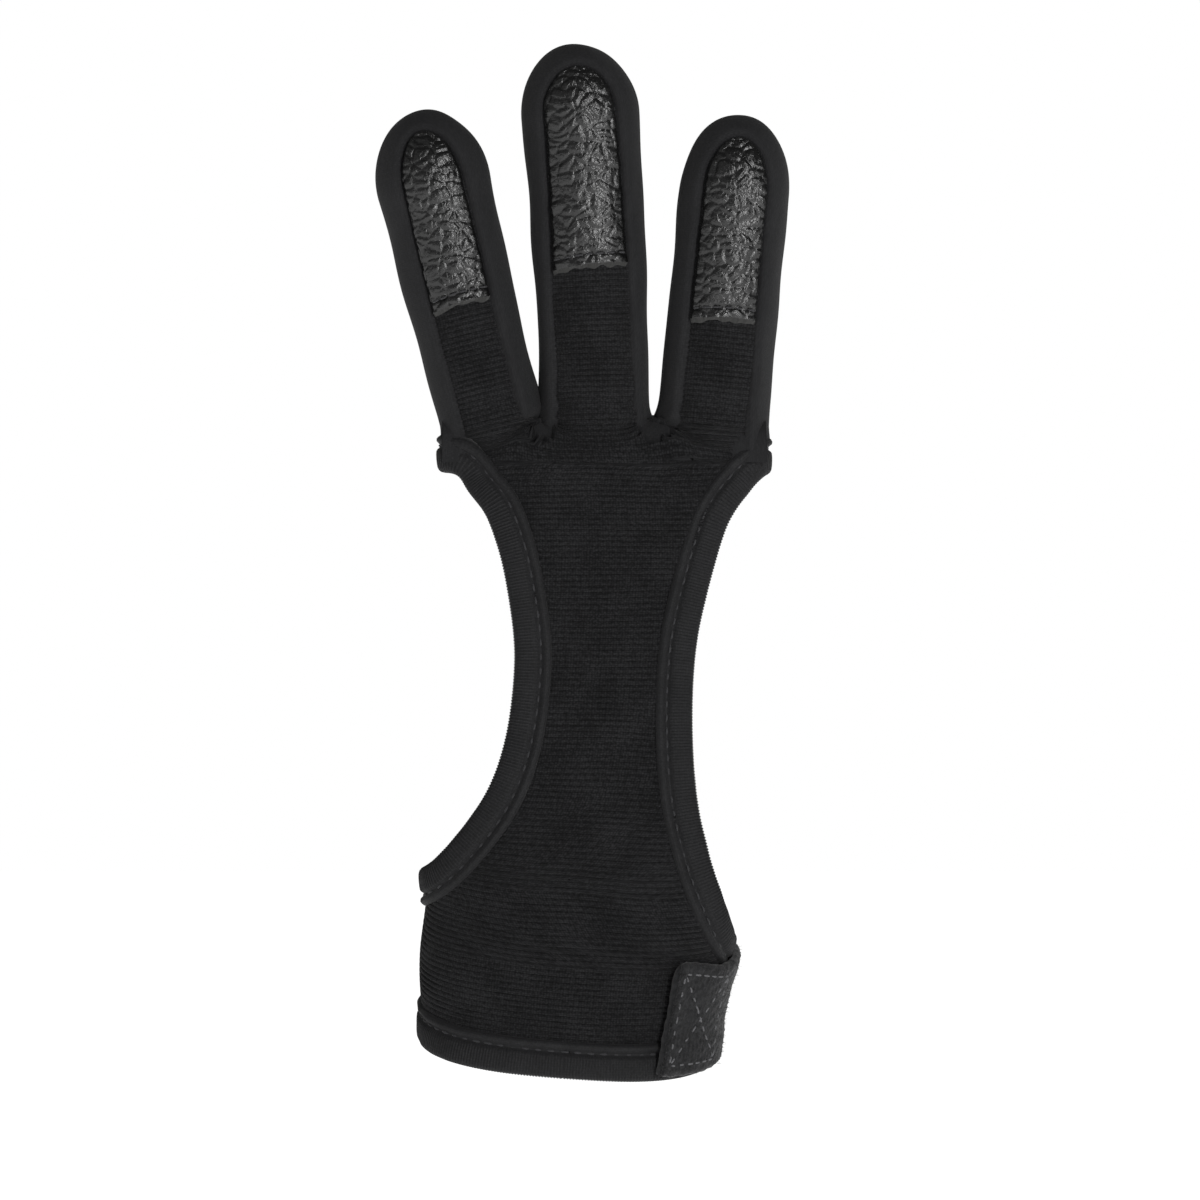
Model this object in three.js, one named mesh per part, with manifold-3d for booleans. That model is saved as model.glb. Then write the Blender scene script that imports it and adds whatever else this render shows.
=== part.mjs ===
// A three-finger archery glove for the right hand, shown as it is worn, with its palm side facing -Y.
// Millimetres, +Z towards the fingertips, +X towards the thumb. The origin is in the middle of the wrist
// opening. The ribbed palm panel runs up the front of three closed finger stalls. A smooth back panel
// joins it round the wrist and round the knuckles. Between them each side is open: one side frees the
// little finger, the other frees the thumb. A folded binding edges each opening and the wrist, a leather
// pad is sewn on each fingertip, and a strap laps round the thumb side of the wrist.

import * as THREE from 'three';
import { mergeVertices } from 'three/addons/utils/BufferGeometryUtils.js';
import Module from 'manifold-3d';

const wasm = await Module();
wasm.setup();

// Sizes of the hand part
const PALM_HEIGHT = 124; // middle of the wrist opening to the foot of the fingers
const HAND_WIDTH = 65; // across the three finger roots
const HAND_DEPTH = 26; // through the knuckles
const HAND_LEAN = 7.6; // the knuckles sit this far to the thumb side of the wrist
const HAND_SQUARENESS = 2.5; // exponent of the section: 2 is an ellipse
const FINGER_LENGTH = 76.6; // middle finger, from the foot of the fingers to its tip
const FINGER_WIDTH = 22;
const FINGER_DEPTH = 20;
const FINGER_DOME = 15; // height of the rounded end
const FINGER_CURL = 3; // how far the tip comes forward
const FINGER_SET_FORWARD = 1.5; // the finger axes lie this far in front of the hand's middle
const ROOT_SINK = 15; // each finger starts this far inside the hand part
const ROOT_TAPER = 0.85; // share of its size that it has there
const STALL_FOOT = 5; // the stalls end this far below the foot of the fingers
const HEM_LEAN_X = -0.075; // the wrist opening slopes down towards the thumb
const HEM_LEAN_Y = 0.27; // and down towards the palm

// Sizes of the cloth and leather
const WALL = 1.6; // palm and back cloth
const STALL_WALL = 2; // padded cloth of the finger stalls
const STRIP_DROP = 1.4; // the palm cloth lies this far under the crown of a stall
const PAD_THICKNESS = 1.2;
const PAD_LENGTH = 44.8; // middle finger's pad, measured down from the tip
const CLEARANCE = 0.3; // left between two pieces that lie on each other
const BINDING_LEG = 0.8; // one layer of the folded binding
const BINDING_WIDTH = 6.1;
const STRAP_THICKNESS = 2.1;
const STRAP_HEIGHT = 21.7;
const STRAP_RISE = 0.8; // strap's lower edge above the hem's
const STRAP_END_X = 20.5; // where the strap ends on the palm side, at mid height
const STRAP_END_LEAN = 0.32; // sideways run of that end for each millimetre up
const STRAP_TAIL_X = -6; // where the strap is sewn down on the back
const SIDE_SEAM_Y = 6; // the palm and back cloth meet this far behind the wrist's widest line

// Lofted sections are drawn with these numbers of points
const HAND_SIDES = 36;
const FINGER_SIDES = 20;
const DOME_ANGLES = [24, 48, 70];
const EDGE_POINTS = 28;
const WINDOW_STEPS = 9; // round the upper end of a stall's window
const FAR = 90; // past every solid

// Sections of the hand part. rise is a share of PALM_HEIGHT, lean of HAND_LEAN, halfWidth of half
// HAND_WIDTH, front and back of half HAND_DEPTH.
const HAND_SECTIONS = [
  { rise: -0.13, lean: -0.1, halfWidth: 0.865, front: 1.42, back: 1.38 },
  { rise: -0.04, lean: -0.07, halfWidth: 0.872, front: 1.42, back: 1.38 },
  { rise: 0.042, lean: 0.02, halfWidth: 0.888, front: 1.42, back: 1.38 },
  { rise: 0.154, lean: 0.21, halfWidth: 0.943, front: 1.43, back: 1.35 },
  { rise: 0.266, lean: 0.51, halfWidth: 0.988, front: 1.38, back: 1.27 },
  { rise: 0.444, lean: 0.46, halfWidth: 1.092, front: 1.19, back: 1.15 },
  { rise: 0.645, lean: 0.46, halfWidth: 1.154, front: 1.06, back: 1.08 },
  { rise: 0.806, lean: 0.72, halfWidth: 1.092, front: 1.01, back: 1.02 },
  { rise: 0.911, lean: 1, halfWidth: 0.997, front: 0.95, back: 0.93 },
  { rise: 0.965, lean: 1, halfWidth: 0.991, front: 0.87, back: 0.8 },
  { rise: 1, lean: 1, halfWidth: 0.94, front: 0.6, back: 0.52 },
  { rise: 1.014, lean: 1, halfWidth: 0.86, front: 0.3, back: 0.28 },
];

// The three fingers. root is a share of half HAND_WIDTH from the knuckles' middle. Tilts are degrees towards
// the little finger. length, rootWidth, tipWidth, depth, dome, curl and pad are shares of the FINGER and PAD
// sizes above. windowRoot and windowTip are the shares of the finger's width that the palm cloth takes, and
// padSkew is the slope of the pad's lower edge in degrees.
const FINGER_SHARES = [
  {
    name: 'ring', root: -0.68, rootTilt: 14.5, tipTilt: 13, length: 0.849, rootWidth: 0.918, tipWidth: 1.036,
    depth: 0.97, dome: 1.04, curl: 0.83, windowRoot: 0.66, windowTip: 0.57, pad: 0.893, padSkew: 17,
  },
  {
    name: 'middle', root: -0.05, rootTilt: 1.2, tipTilt: 4.6, length: 1, rootWidth: 0.973, tipWidth: 1.073,
    depth: 1.03, dome: 0.933, curl: 1, windowRoot: 0.82, windowTip: 0.65, pad: 1, padSkew: 6.5,
  },
  {
    name: 'index', root: 0.665, rootTilt: -5.2, tipTilt: -5.6, length: 0.82, rootWidth: 1, tipWidth: 0.99,
    depth: 0.99, dome: 1.053, curl: 0.83, windowRoot: 0.68, windowTip: 0.63, pad: 0.926, padSkew: -2.4,
  },
];
const FINGERS = FINGER_SHARES.map((row) => ({
  ...row,
  length: row.length * FINGER_LENGTH,
  rootWidth: row.rootWidth * FINGER_WIDTH,
  tipWidth: row.tipWidth * FINGER_WIDTH,
  depth: row.depth * FINGER_DEPTH,
  dome: row.dome * FINGER_DOME,
  curl: row.curl * FINGER_CURL,
  padLength: row.pad * PAD_LENGTH,
}));

// How deep a finger is along its straight length, as a share of its depth.
const FINGER_PROFILE = [
  { along: 0, depth: 1.04 },
  { along: 0.35, depth: 1 },
  { along: 0.7, depth: 1 },
  { along: 1, depth: 0.97 },
];

// Outer edges of the bindings that ring the two side openings. rise is a share of PALM_HEIGHT and reach a
// share of the hand's half width at that height, so 1 is its side.
const LITTLE_FINGER_EDGE = [
  { rise: 0.93, reach: -1.5 },
  { rise: 0.929, reach: -1.05 },
  { rise: 0.925, reach: -0.91 },
  { rise: 0.897, reach: -0.82 },
  { rise: 0.855, reach: -0.648 },
  { rise: 0.786, reach: -0.5 },
  { rise: 0.684, reach: -0.385 },
  { rise: 0.602, reach: -0.365 },
  { rise: 0.5, reach: -0.425 },
  { rise: 0.409, reach: -0.566 },
  { rise: 0.322, reach: -0.843 },
  { rise: 0.286, reach: -1.03 },
  { rise: 0.271, reach: -1.25 },
  { rise: 0.261, reach: -1.6 },
];
const THUMB_EDGE = [
  { rise: 0.931, reach: 1.5 },
  { rise: 0.927, reach: 1.05 },
  { rise: 0.916, reach: 0.95 },
  { rise: 0.898, reach: 0.896 },
  { rise: 0.847, reach: 0.758 },
  { rise: 0.745, reach: 0.654 },
  { rise: 0.643, reach: 0.597 },
  { rise: 0.521, reach: 0.596 },
  { rise: 0.399, reach: 0.649 },
  { rise: 0.297, reach: 0.768 },
  { rise: 0.21, reach: 0.945 },
  { rise: 0.164, reach: 1.06 },
  { rise: 0.142, reach: 1.2 },
  { rise: 0.132, reach: 1.6 },
];

const BINDING_PROUD = BINDING_LEG + CLEARANCE; // binding's face above the cloth
const STRIP_OUTER = -STRIP_DROP;
const STRIP_INNER = -STRIP_DROP - WALL;
const PAD_INNER = STRIP_OUTER + CLEARANCE;
const STALL_FOOT_Z = PALM_HEIGHT - STALL_FOOT;

// Reads a table between its rows with a smooth curve through them.
function readTable(rows, key, at, column) {
  const last = rows.length - 1;
  let i = 0;
  while (i < last - 1 && rows[i + 1][key] < at) i += 1;
  const share = THREE.MathUtils.clamp((at - rows[i][key]) / (rows[i + 1][key] - rows[i][key]), 0, 1);
  const before = rows[Math.max(i - 1, 0)];
  const after = rows[Math.min(i + 2, last)];
  const span = rows[i + 1][key] - rows[i][key];
  const slopeIn = ((rows[i + 1][column] - before[column]) / (rows[i + 1][key] - before[key])) * span;
  const slopeOut = ((after[column] - rows[i][column]) / (after[key] - rows[i][key])) * span;
  const s2 = share * share;
  const s3 = s2 * share;
  return (2 * s3 - 3 * s2 + 1) * rows[i][column] + (s3 - 2 * s2 + share) * slopeIn
    + (3 * s2 - 2 * s3) * rows[i + 1][column] + (s3 - s2) * slopeOut;
}

function handAt(z) {
  const rise = z / PALM_HEIGHT;
  const read = (column) => readTable(HAND_SECTIONS, 'rise', rise, column);
  return {
    centre: read('lean') * HAND_LEAN,
    halfWidth: (read('halfWidth') * HAND_WIDTH) / 2,
    front: (read('front') * HAND_DEPTH) / 2,
    back: (read('back') * HAND_DEPTH) / 2,
  };
}

// Turns a closed geometry into a solid that can be joined and cut.
function toSolid(geometry) {
  geometry.deleteAttribute('normal');
  geometry.deleteAttribute('uv');
  const welded = mergeVertices(geometry, 1e-4);
  const mesh = new wasm.Mesh({
    numProp: 3,
    vertProperties: new Float32Array(welded.attributes.position.array),
    triVerts: new Uint32Array(welded.index.array),
  });
  return new wasm.Manifold(mesh);
}

function toGeometry(solid) {
  const { vertProperties, triVerts } = solid.getMesh();
  const geometry = new THREE.BufferGeometry();
  geometry.setAttribute('position', new THREE.BufferAttribute(vertProperties, 3));
  geometry.setIndex(new THREE.BufferAttribute(triVerts, 1));
  geometry.computeVertexNormals();
  return geometry;
}

// Skins rings of points, each counter-clockwise seen from the end, and closes both ends with a fan.
function skin(rings) {
  const sides = rings[0].length;
  const points = rings.flat();
  const index = [];
  for (let r = 0; r + 1 < rings.length; r += 1) {
    for (let k = 0; k < sides; k += 1) {
      const a = r * sides + k;
      const b = r * sides + ((k + 1) % sides);
      index.push(a, b, b + sides, a, b + sides, a + sides);
    }
  }
  for (const ring of [rings[0], rings[rings.length - 1]]) {
    const middle = ring.reduce((sum, p) => sum.add(p), new THREE.Vector3()).divideScalar(sides);
    const start = ring === rings[0] ? 0 : (rings.length - 1) * sides;
    points.push(middle);
    for (let k = 0; k < sides; k += 1) {
      const a = start + k;
      const b = start + ((k + 1) % sides);
      if (ring === rings[0]) index.push(points.length - 1, b, a);
      else index.push(points.length - 1, a, b);
    }
  }
  const geometry = new THREE.BufferGeometry().setFromPoints(points);
  geometry.setIndex(index);
  return toSolid(geometry);
}

// The hand part's outer surface moved out by offset, as a filled solid.
function handSolid(offset) {
  const power = 2 / HAND_SQUARENESS;
  const rings = HAND_SECTIONS.map((row) => {
    const z = row.rise * PALM_HEIGHT;
    const hand = handAt(z);
    const lift = row === HAND_SECTIONS[HAND_SECTIONS.length - 1] ? offset : 0;
    return Array.from({ length: HAND_SIDES }, (_, k) => {
      const angle = (k / HAND_SIDES) * 2 * Math.PI;
      const across = Math.sign(Math.cos(angle)) * Math.abs(Math.cos(angle)) ** power;
      const through = Math.sign(Math.sin(angle)) * Math.abs(Math.sin(angle)) ** power;
      const depth = (through < 0 ? hand.front : hand.back) + offset;
      return new THREE.Vector3(hand.centre + across * (hand.halfWidth + offset), through * depth, z + lift);
    });
  });
  return skin(rings);
}

// A finger's middle line, measured up from its root. The straight part ends where the dome starts.
function fingerAt(finger, distance) {
  const straight = finger.length - finger.dome;
  const knuckles = handAt(PALM_HEIGHT);
  const share = distance / straight;
  const tiltHere = finger.rootTilt + (finger.tipTilt - finger.rootTilt) * THREE.MathUtils.clamp(share, 0, 1);
  const tiltMean = (finger.rootTilt + tiltHere) / 2;
  const along = new THREE.Vector2(
    -Math.sin(THREE.MathUtils.degToRad(tiltMean)),
    Math.cos(THREE.MathUtils.degToRad(tiltMean)),
  );
  const tilt = THREE.MathUtils.degToRad(tiltHere);
  const ahead = new THREE.Vector2(-Math.sin(tilt), Math.cos(tilt));
  const root = knuckles.centre + (finger.root * HAND_WIDTH) / 2;
  const width = THREE.MathUtils.lerp(finger.rootWidth, finger.tipWidth, Math.max(share, 0));
  const depth = readTable(FINGER_PROFILE, 'along', Math.max(share, 0), 'depth');
  return {
    x: root + along.x * distance,
    z: PALM_HEIGHT + along.y * distance,
    y: -FINGER_SET_FORWARD - finger.curl * Math.max(share, 0) ** 2,
    ahead,
    across: new THREE.Vector2(ahead.y, -ahead.x),
    halfWidth: width / 2,
    halfDepth: (depth * finger.depth) / 2,
  };
}

function fingerRing(finger, distance, offset, shrink, push) {
  const at = fingerAt(finger, distance);
  return Array.from({ length: FINGER_SIDES }, (_, k) => {
    const angle = (k / FINGER_SIDES) * 2 * Math.PI;
    const side = Math.cos(angle) * (at.halfWidth + offset) * shrink;
    return new THREE.Vector3(
      at.x + at.across.x * side + at.ahead.x * push,
      at.y + Math.sin(angle) * (at.halfDepth + offset) * shrink,
      at.z + at.across.y * side + at.ahead.y * push,
    );
  });
}

// A whole finger moved out by offset, as a filled solid with a rounded end.
function fingerSolid(finger, offset) {
  const straight = finger.length - finger.dome;
  const rings = [fingerRing(finger, -ROOT_SINK, offset, ROOT_TAPER, 0)];
  for (const share of [0, 0.2, 0.4, 0.6, 0.8, 1]) {
    rings.push(fingerRing(finger, share * straight, offset, 1, 0));
  }
  for (const degrees of DOME_ANGLES) {
    const angle = THREE.MathUtils.degToRad(degrees);
    const push = Math.sin(angle) * (finger.dome + offset);
    rings.push(fingerRing(finger, straight, offset, Math.cos(angle), push));
  }
  return skin(rings);
}

// The whole glove's form, with its own offset for the fingers and for the hand part.
function form(fingerOffset, handOffset) {
  return FINGERS.reduce((sum, finger) => sum.add(fingerSolid(finger, fingerOffset)), handSolid(handOffset));
}

// A front-view outline, in X and Z, taken right through from y = from to y = to.
function throughY(outline, from, to) {
  const shape = new THREE.Shape(outline);
  const geometry = new THREE.ExtrudeGeometry(shape, { depth: to - from, bevelEnabled: false });
  geometry.rotateX(Math.PI / 2);
  geometry.translate(0, to, 0);
  return toSolid(geometry);
}

// The space between two planes that both lean as the wrist opening does.
function hemSlab(low, high) {
  const geometry = new THREE.BoxGeometry(2 * FAR, 2 * FAR, high - low);
  const position = geometry.attributes.position;
  for (let i = 0; i < position.count; i += 1) {
    const lean = HEM_LEAN_X * position.getX(i) + HEM_LEAN_Y * position.getY(i);
    position.setZ(i, position.getZ(i) + (low + high) / 2 + lean);
  }
  return toSolid(geometry);
}

// Window in the front of a stall, seen from the front: an upside-down U, taken in by margin.
function windowOutline(finger, margin, low) {
  const straight = finger.length - finger.dome;
  const at = (distance, side) => {
    const here = fingerAt(finger, distance);
    const share = THREE.MathUtils.clamp(distance / straight, 0, 1);
    const window = finger.windowRoot + (finger.windowTip - finger.windowRoot) * share;
    const half = side * (here.halfWidth * window - margin);
    return new THREE.Vector2(here.x + here.across.x * half, here.z + here.across.y * half);
  };
  const steps = [low, 0.25 * straight, 0.5 * straight, 0.75 * straight, straight];
  const up = steps.map((distance) => at(distance, -1));
  const down = steps.map((distance) => at(distance, 1)).reverse();
  const end = fingerAt(finger, straight);
  const half = end.halfWidth * finger.windowTip - margin;
  const rise = finger.dome * finger.windowTip - margin;
  const round = Array.from({ length: WINDOW_STEPS - 1 }, (_, k) => {
    const angle = Math.PI * (1 - (k + 1) / WINDOW_STEPS);
    const side = Math.cos(angle) * half;
    const push = Math.sin(angle) * rise;
    return new THREE.Vector2(
      end.x + end.across.x * side + end.ahead.x * push,
      end.z + end.across.y * side + end.ahead.y * push,
    );
  });
  return [...up, ...round, ...down];
}

function windowPrism(finger, margin, low) {
  return throughY(windowOutline(finger, margin, low), -FAR, -FINGER_SET_FORWARD - finger.curl);
}

// A side opening's edge, moved by inset into the cloth. side is 1 for the thumb side and -1 for the other.
function edgeLine(rows, side, inset) {
  const curve = new THREE.SplineCurve(rows.map((row) => {
    const z = row.rise * PALM_HEIGHT;
    const hand = handAt(z);
    return new THREE.Vector2(hand.centre + row.reach * hand.halfWidth, z);
  }));
  const count = EDGE_POINTS;
  return Array.from({ length: count + 1 }, (_, k) => {
    const share = k / count;
    const tangent = curve.getTangentAt(share);
    const inward = new THREE.Vector2(-side * -tangent.y, -side * tangent.x).negate();
    return curve.getPointAt(share).add(inward.multiplyScalar(-inset));
  });
}

function openingPrism(rows, side, inset) {
  const line = edgeLine(rows, side, inset);
  const far = [
    new THREE.Vector2(side * FAR, line[line.length - 1].y),
    new THREE.Vector2(side * FAR, line[0].y),
  ];
  return throughY([...line, ...far], -FAR, FAR);
}

function bothOpenings(inset) {
  return openingPrism(LITTLE_FINGER_EDGE, -1, inset).add(openingPrism(THUMB_EDGE, 1, inset));
}

// The part of the front that the palm cloth covers, without the strips up the fingers.
function palmBodyOutline(margin) {
  const first = fingerAt(FINGERS[0], 0);
  const lastFinger = FINGERS[FINGERS.length - 1];
  const last = fingerAt(lastFinger, 0);
  const top = PALM_HEIGHT - STALL_FOOT / 4 - margin;
  const left = first.x - first.halfWidth * FINGERS[0].windowRoot + margin;
  const right = last.x + last.halfWidth * lastFinger.windowRoot - margin;
  const shoulder = STALL_FOOT_Z - STALL_FOOT / 2;
  return [
    new THREE.Vector2(left, top),
    new THREE.Vector2(left, shoulder),
    new THREE.Vector2(-FAR, shoulder - STALL_FOOT),
    new THREE.Vector2(-FAR, -FAR),
    new THREE.Vector2(FAR, -FAR),
    new THREE.Vector2(FAR, shoulder - STALL_FOOT),
    new THREE.Vector2(right, shoulder),
    new THREE.Vector2(right, top),
  ];
}

// Everything that belongs to the palm cloth: the palm, the strips, and the wrist round to its side seams.
function palmRegion(margin) {
  const wristTop = PALM_HEIGHT / 2;
  const wrist = [
    new THREE.Vector2(-FAR, -FAR),
    new THREE.Vector2(FAR, -FAR),
    new THREE.Vector2(FAR, wristTop),
    new THREE.Vector2(-FAR, wristTop),
  ];
  const body = throughY(palmBodyOutline(margin), -FAR, -FINGER_SET_FORWARD)
    .add(throughY(wrist, -FAR, SIDE_SEAM_Y - margin));
  return FINGERS.reduce((sum, finger) => sum.add(windowPrism(finger, margin, -ROOT_SINK)), body);
}

// The slice of space round one finger, up to the planes halfway to its neighbours.
function fingerRegion(index) {
  const halfway = (a, b, distance) => {
    const p = fingerAt(a, distance);
    const q = fingerAt(b, distance);
    const gap = Math.abs(q.x - p.x) - p.halfWidth - q.halfWidth;
    return new THREE.Vector2(p.x + p.halfWidth + gap / 2, (p.z + q.z) / 2);
  };
  const border = (other, move) => {
    const low = halfway(FINGERS[other], FINGERS[other + 1], 0);
    const high = halfway(FINGERS[other], FINGERS[other + 1], FINGERS[1].length / 2);
    const slope = (high.x - low.x) / (high.y - low.y);
    const at = (z) => new THREE.Vector2(low.x + (z - low.y) * slope + move, z);
    return [at(STALL_FOOT_Z), at(PALM_HEIGHT + FAR)];
  };
  const half = CLEARANCE / 2;
  const left = index > 0
    ? border(index - 1, half)
    : [new THREE.Vector2(-FAR, STALL_FOOT_Z), new THREE.Vector2(-FAR, PALM_HEIGHT + FAR)];
  const right = index < FINGERS.length - 1
    ? border(index, -half)
    : [new THREE.Vector2(FAR, STALL_FOOT_Z), new THREE.Vector2(FAR, PALM_HEIGHT + FAR)];
  return throughY([left[0], right[0], right[1], left[1]], -FAR, FAR);
}

// Everything below the foot of the stalls.
function belowStalls() {
  const top = STALL_FOOT_Z - CLEARANCE;
  return throughY([
    new THREE.Vector2(-FAR, -FAR),
    new THREE.Vector2(FAR, -FAR),
    new THREE.Vector2(FAR, top),
    new THREE.Vector2(-FAR, top),
  ], -FAR, FAR);
}

// The cloth stops short of the fold of each binding.
const clothOpenings = bothOpenings(BINDING_PROUD);
const belowHem = hemSlab(-FAR, BINDING_PROUD);

function makePalmPanel() {
  const outer = form(STRIP_OUTER, 0);
  const inner = form(STRIP_INNER, -WALL);
  return outer.subtract(inner).intersect(palmRegion(CLEARANCE / 2))
    .subtract(clothOpenings).subtract(belowHem);
}

function makeBackPanel() {
  const outer = form(0, 0);
  const inner = form(-STALL_WALL, -WALL);
  return outer.subtract(inner).intersect(belowStalls()).subtract(palmRegion(-CLEARANCE / 2))
    .subtract(clothOpenings).subtract(belowHem);
}

function makeStall(index) {
  const outer = form(0, 0);
  const inner = form(-STALL_WALL, -WALL);
  return outer.subtract(inner).intersect(fingerRegion(index)).subtract(palmRegion(-CLEARANCE / 2));
}

function makePad(finger) {
  const low = finger.length - finger.padLength;
  const at = fingerAt(finger, low);
  const slope = Math.tan(THREE.MathUtils.degToRad(finger.padSkew));
  const edge = (x) => new THREE.Vector2(x, at.z + (x - at.x) * slope);
  const above = throughY([
    edge(at.x - finger.tipWidth),
    edge(at.x + finger.tipWidth),
    new THREE.Vector2(at.x + finger.tipWidth, PALM_HEIGHT + FAR),
    new THREE.Vector2(at.x - finger.tipWidth, PALM_HEIGHT + FAR),
  ], -FAR, FAR);
  return fingerSolid(finger, PAD_INNER + PAD_THICKNESS).subtract(fingerSolid(finger, PAD_INNER))
    .intersect(windowPrism(finger, CLEARANCE / 2, 0)).intersect(above);
}

// The band of space along a side opening's edge, grown by extra on every side.
function bandPrism(rows, side, extra) {
  return openingPrism(rows, side, BINDING_WIDTH + extra).subtract(openingPrism(rows, side, -extra));
}

// A folded strip: two thin layers outside and inside the cloth, joined along the fold.
function foldedLayers(proud, gap) {
  const outside = form(proud, proud);
  const inside = form(STRIP_INNER - proud, -WALL - proud);
  const slotOutside = form(gap, gap);
  const slotInside = form(STRIP_INNER - gap, -WALL - gap);
  return { layers: outside.subtract(inside), slot: slotOutside.subtract(slotInside) };
}

function makeSideBinding(rows, side) {
  const { layers, slot } = foldedLayers(BINDING_PROUD, CLEARANCE);
  const edge = bandPrism(rows, side, 0);
  const filled = slot.subtract(openingPrism(rows, side, BINDING_LEG));
  return layers.intersect(edge).subtract(filled);
}

function makeHemBinding() {
  const { layers, slot } = foldedLayers(BINDING_PROUD, CLEARANCE);
  const filled = slot.intersect(hemSlab(BINDING_LEG, FAR));
  return layers.intersect(hemSlab(0, BINDING_WIDTH)).subtract(filled);
}

function makeStrap() {
  const layers = handSolid(CLEARANCE + STRAP_THICKNESS).subtract(handSolid(CLEARANCE));
  const middle = STRAP_RISE + STRAP_HEIGHT / 2;
  const end = (z) => new THREE.Vector2(STRAP_END_X + (z - middle) * STRAP_END_LEAN, z);
  const front = throughY([
    end(-STRAP_HEIGHT),
    new THREE.Vector2(FAR, -STRAP_HEIGHT),
    new THREE.Vector2(FAR, 2 * STRAP_HEIGHT),
    end(2 * STRAP_HEIGHT),
  ], -FAR, 0);
  const back = throughY([
    new THREE.Vector2(STRAP_TAIL_X, -STRAP_HEIGHT),
    new THREE.Vector2(FAR, -STRAP_HEIGHT),
    new THREE.Vector2(FAR, 2 * STRAP_HEIGHT),
    new THREE.Vector2(STRAP_TAIL_X, 2 * STRAP_HEIGHT),
  ], 0, FAR);
  const bump = handSolid(BINDING_PROUD + CLEARANCE);
  const overHem = bump.intersect(hemSlab(-FAR, BINDING_WIDTH + CLEARANCE));
  const overBinding = bump.intersect(bandPrism(THUMB_EDGE, 1, CLEARANCE));
  return layers.intersect(front.add(back)).intersect(hemSlab(STRAP_RISE, STRAP_RISE + STRAP_HEIGHT))
    .subtract(overHem).subtract(overBinding);
}

const cloth = { ribbed: 0x191919, smooth: 0x222222, binding: 0x1c1c1c, leather: 0x242424, felt: 0x313131 };

function piece(name, solid, color, roughness) {
  const material = new THREE.MeshStandardMaterial({ color, roughness, metalness: 0 });
  const mesh = new THREE.Mesh(toGeometry(solid), material);
  mesh.name = name;
  return mesh;
}

const glove = new THREE.Group();
glove.add(piece('palm_panel', makePalmPanel(), cloth.ribbed, 0.95));
glove.add(piece('back_panel', makeBackPanel(), cloth.smooth, 0.9));
FINGERS.forEach((finger, index) => {
  glove.add(piece(`${finger.name}_stall`, makeStall(index), cloth.smooth, 0.9));
  glove.add(piece(`${finger.name}_leather_pad`, makePad(finger), cloth.leather, 0.45));
});
glove.add(piece('little_finger_side_binding', makeSideBinding(LITTLE_FINGER_EDGE, -1), cloth.binding, 0.85));
glove.add(piece('thumb_side_binding', makeSideBinding(THUMB_EDGE, 1), cloth.binding, 0.85));
glove.add(piece('wrist_hem_binding', makeHemBinding(), cloth.binding, 0.85));
glove.add(piece('wrist_strap', makeStrap(), cloth.felt, 0.95));

export default glove;
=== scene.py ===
# A right-handed archery glove with three closed fingers, in its worn form, palm side to the camera.
# Shapes are worked out in millimetres, in the frame's own axes, and turned to metres when a mesh is made.
import math

import bmesh
import bpy
import numpy as np
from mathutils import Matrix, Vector


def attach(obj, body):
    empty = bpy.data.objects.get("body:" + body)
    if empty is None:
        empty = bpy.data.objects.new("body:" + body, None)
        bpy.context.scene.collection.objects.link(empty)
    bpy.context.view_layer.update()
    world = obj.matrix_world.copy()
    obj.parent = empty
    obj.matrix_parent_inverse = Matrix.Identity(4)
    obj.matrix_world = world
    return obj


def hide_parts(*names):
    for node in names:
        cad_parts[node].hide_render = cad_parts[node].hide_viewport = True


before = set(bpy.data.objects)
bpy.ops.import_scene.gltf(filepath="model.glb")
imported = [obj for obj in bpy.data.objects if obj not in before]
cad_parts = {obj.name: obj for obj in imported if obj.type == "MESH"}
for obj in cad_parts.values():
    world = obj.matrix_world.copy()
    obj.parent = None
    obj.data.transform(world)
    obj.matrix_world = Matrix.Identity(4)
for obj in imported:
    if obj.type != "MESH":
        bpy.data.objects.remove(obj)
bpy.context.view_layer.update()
random = np.random.default_rng(11)
metre = 0.001  # one millimetre in metres

# Form of the glove's palm and fingers

palmForm = {
    "palmHeight": 124.0,  # wrist opening to the foot of the fingers
    "width": 65.0,  # across the feet of the fingers
    "depth": 26.0,  # front to back under the fingers
    "lean": 7.6,  # the top of the palm sits this far to the right
    "squareness": 2.5,
    "hemLeanX": -0.075,
    "hemLeanY": 0.27,
    "blend": 3.0,  # how softly fingers and palm run together
    # shares of palmHeight, lean, half width and half depth
    "sections": [
        {"rise": -0.13, "lean": -0.1, "halfWidth": 0.865, "front": 1.42, "back": 1.38},
        {"rise": -0.04, "lean": -0.07, "halfWidth": 0.872, "front": 1.42, "back": 1.38},
        {"rise": 0.042, "lean": 0.02, "halfWidth": 0.888, "front": 1.42, "back": 1.38},
        {"rise": 0.154, "lean": 0.21, "halfWidth": 0.943, "front": 1.43, "back": 1.35},
        {"rise": 0.266, "lean": 0.51, "halfWidth": 0.988, "front": 1.38, "back": 1.27},
        {"rise": 0.444, "lean": 0.46, "halfWidth": 1.092, "front": 1.19, "back": 1.15},
        {"rise": 0.645, "lean": 0.46, "halfWidth": 1.154, "front": 1.06, "back": 1.08},
        {"rise": 0.806, "lean": 0.72, "halfWidth": 1.092, "front": 1.01, "back": 1.02},
        {"rise": 0.911, "lean": 1, "halfWidth": 0.997, "front": 0.95, "back": 0.93},
        {"rise": 0.965, "lean": 1, "halfWidth": 0.991, "front": 0.87, "back": 0.8},
        {"rise": 1, "lean": 1, "halfWidth": 0.94, "front": 0.6, "back": 0.52},
        {"rise": 1.014, "lean": 1, "halfWidth": 0.86, "front": 0.3, "back": 0.28},
    ],
}

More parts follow.
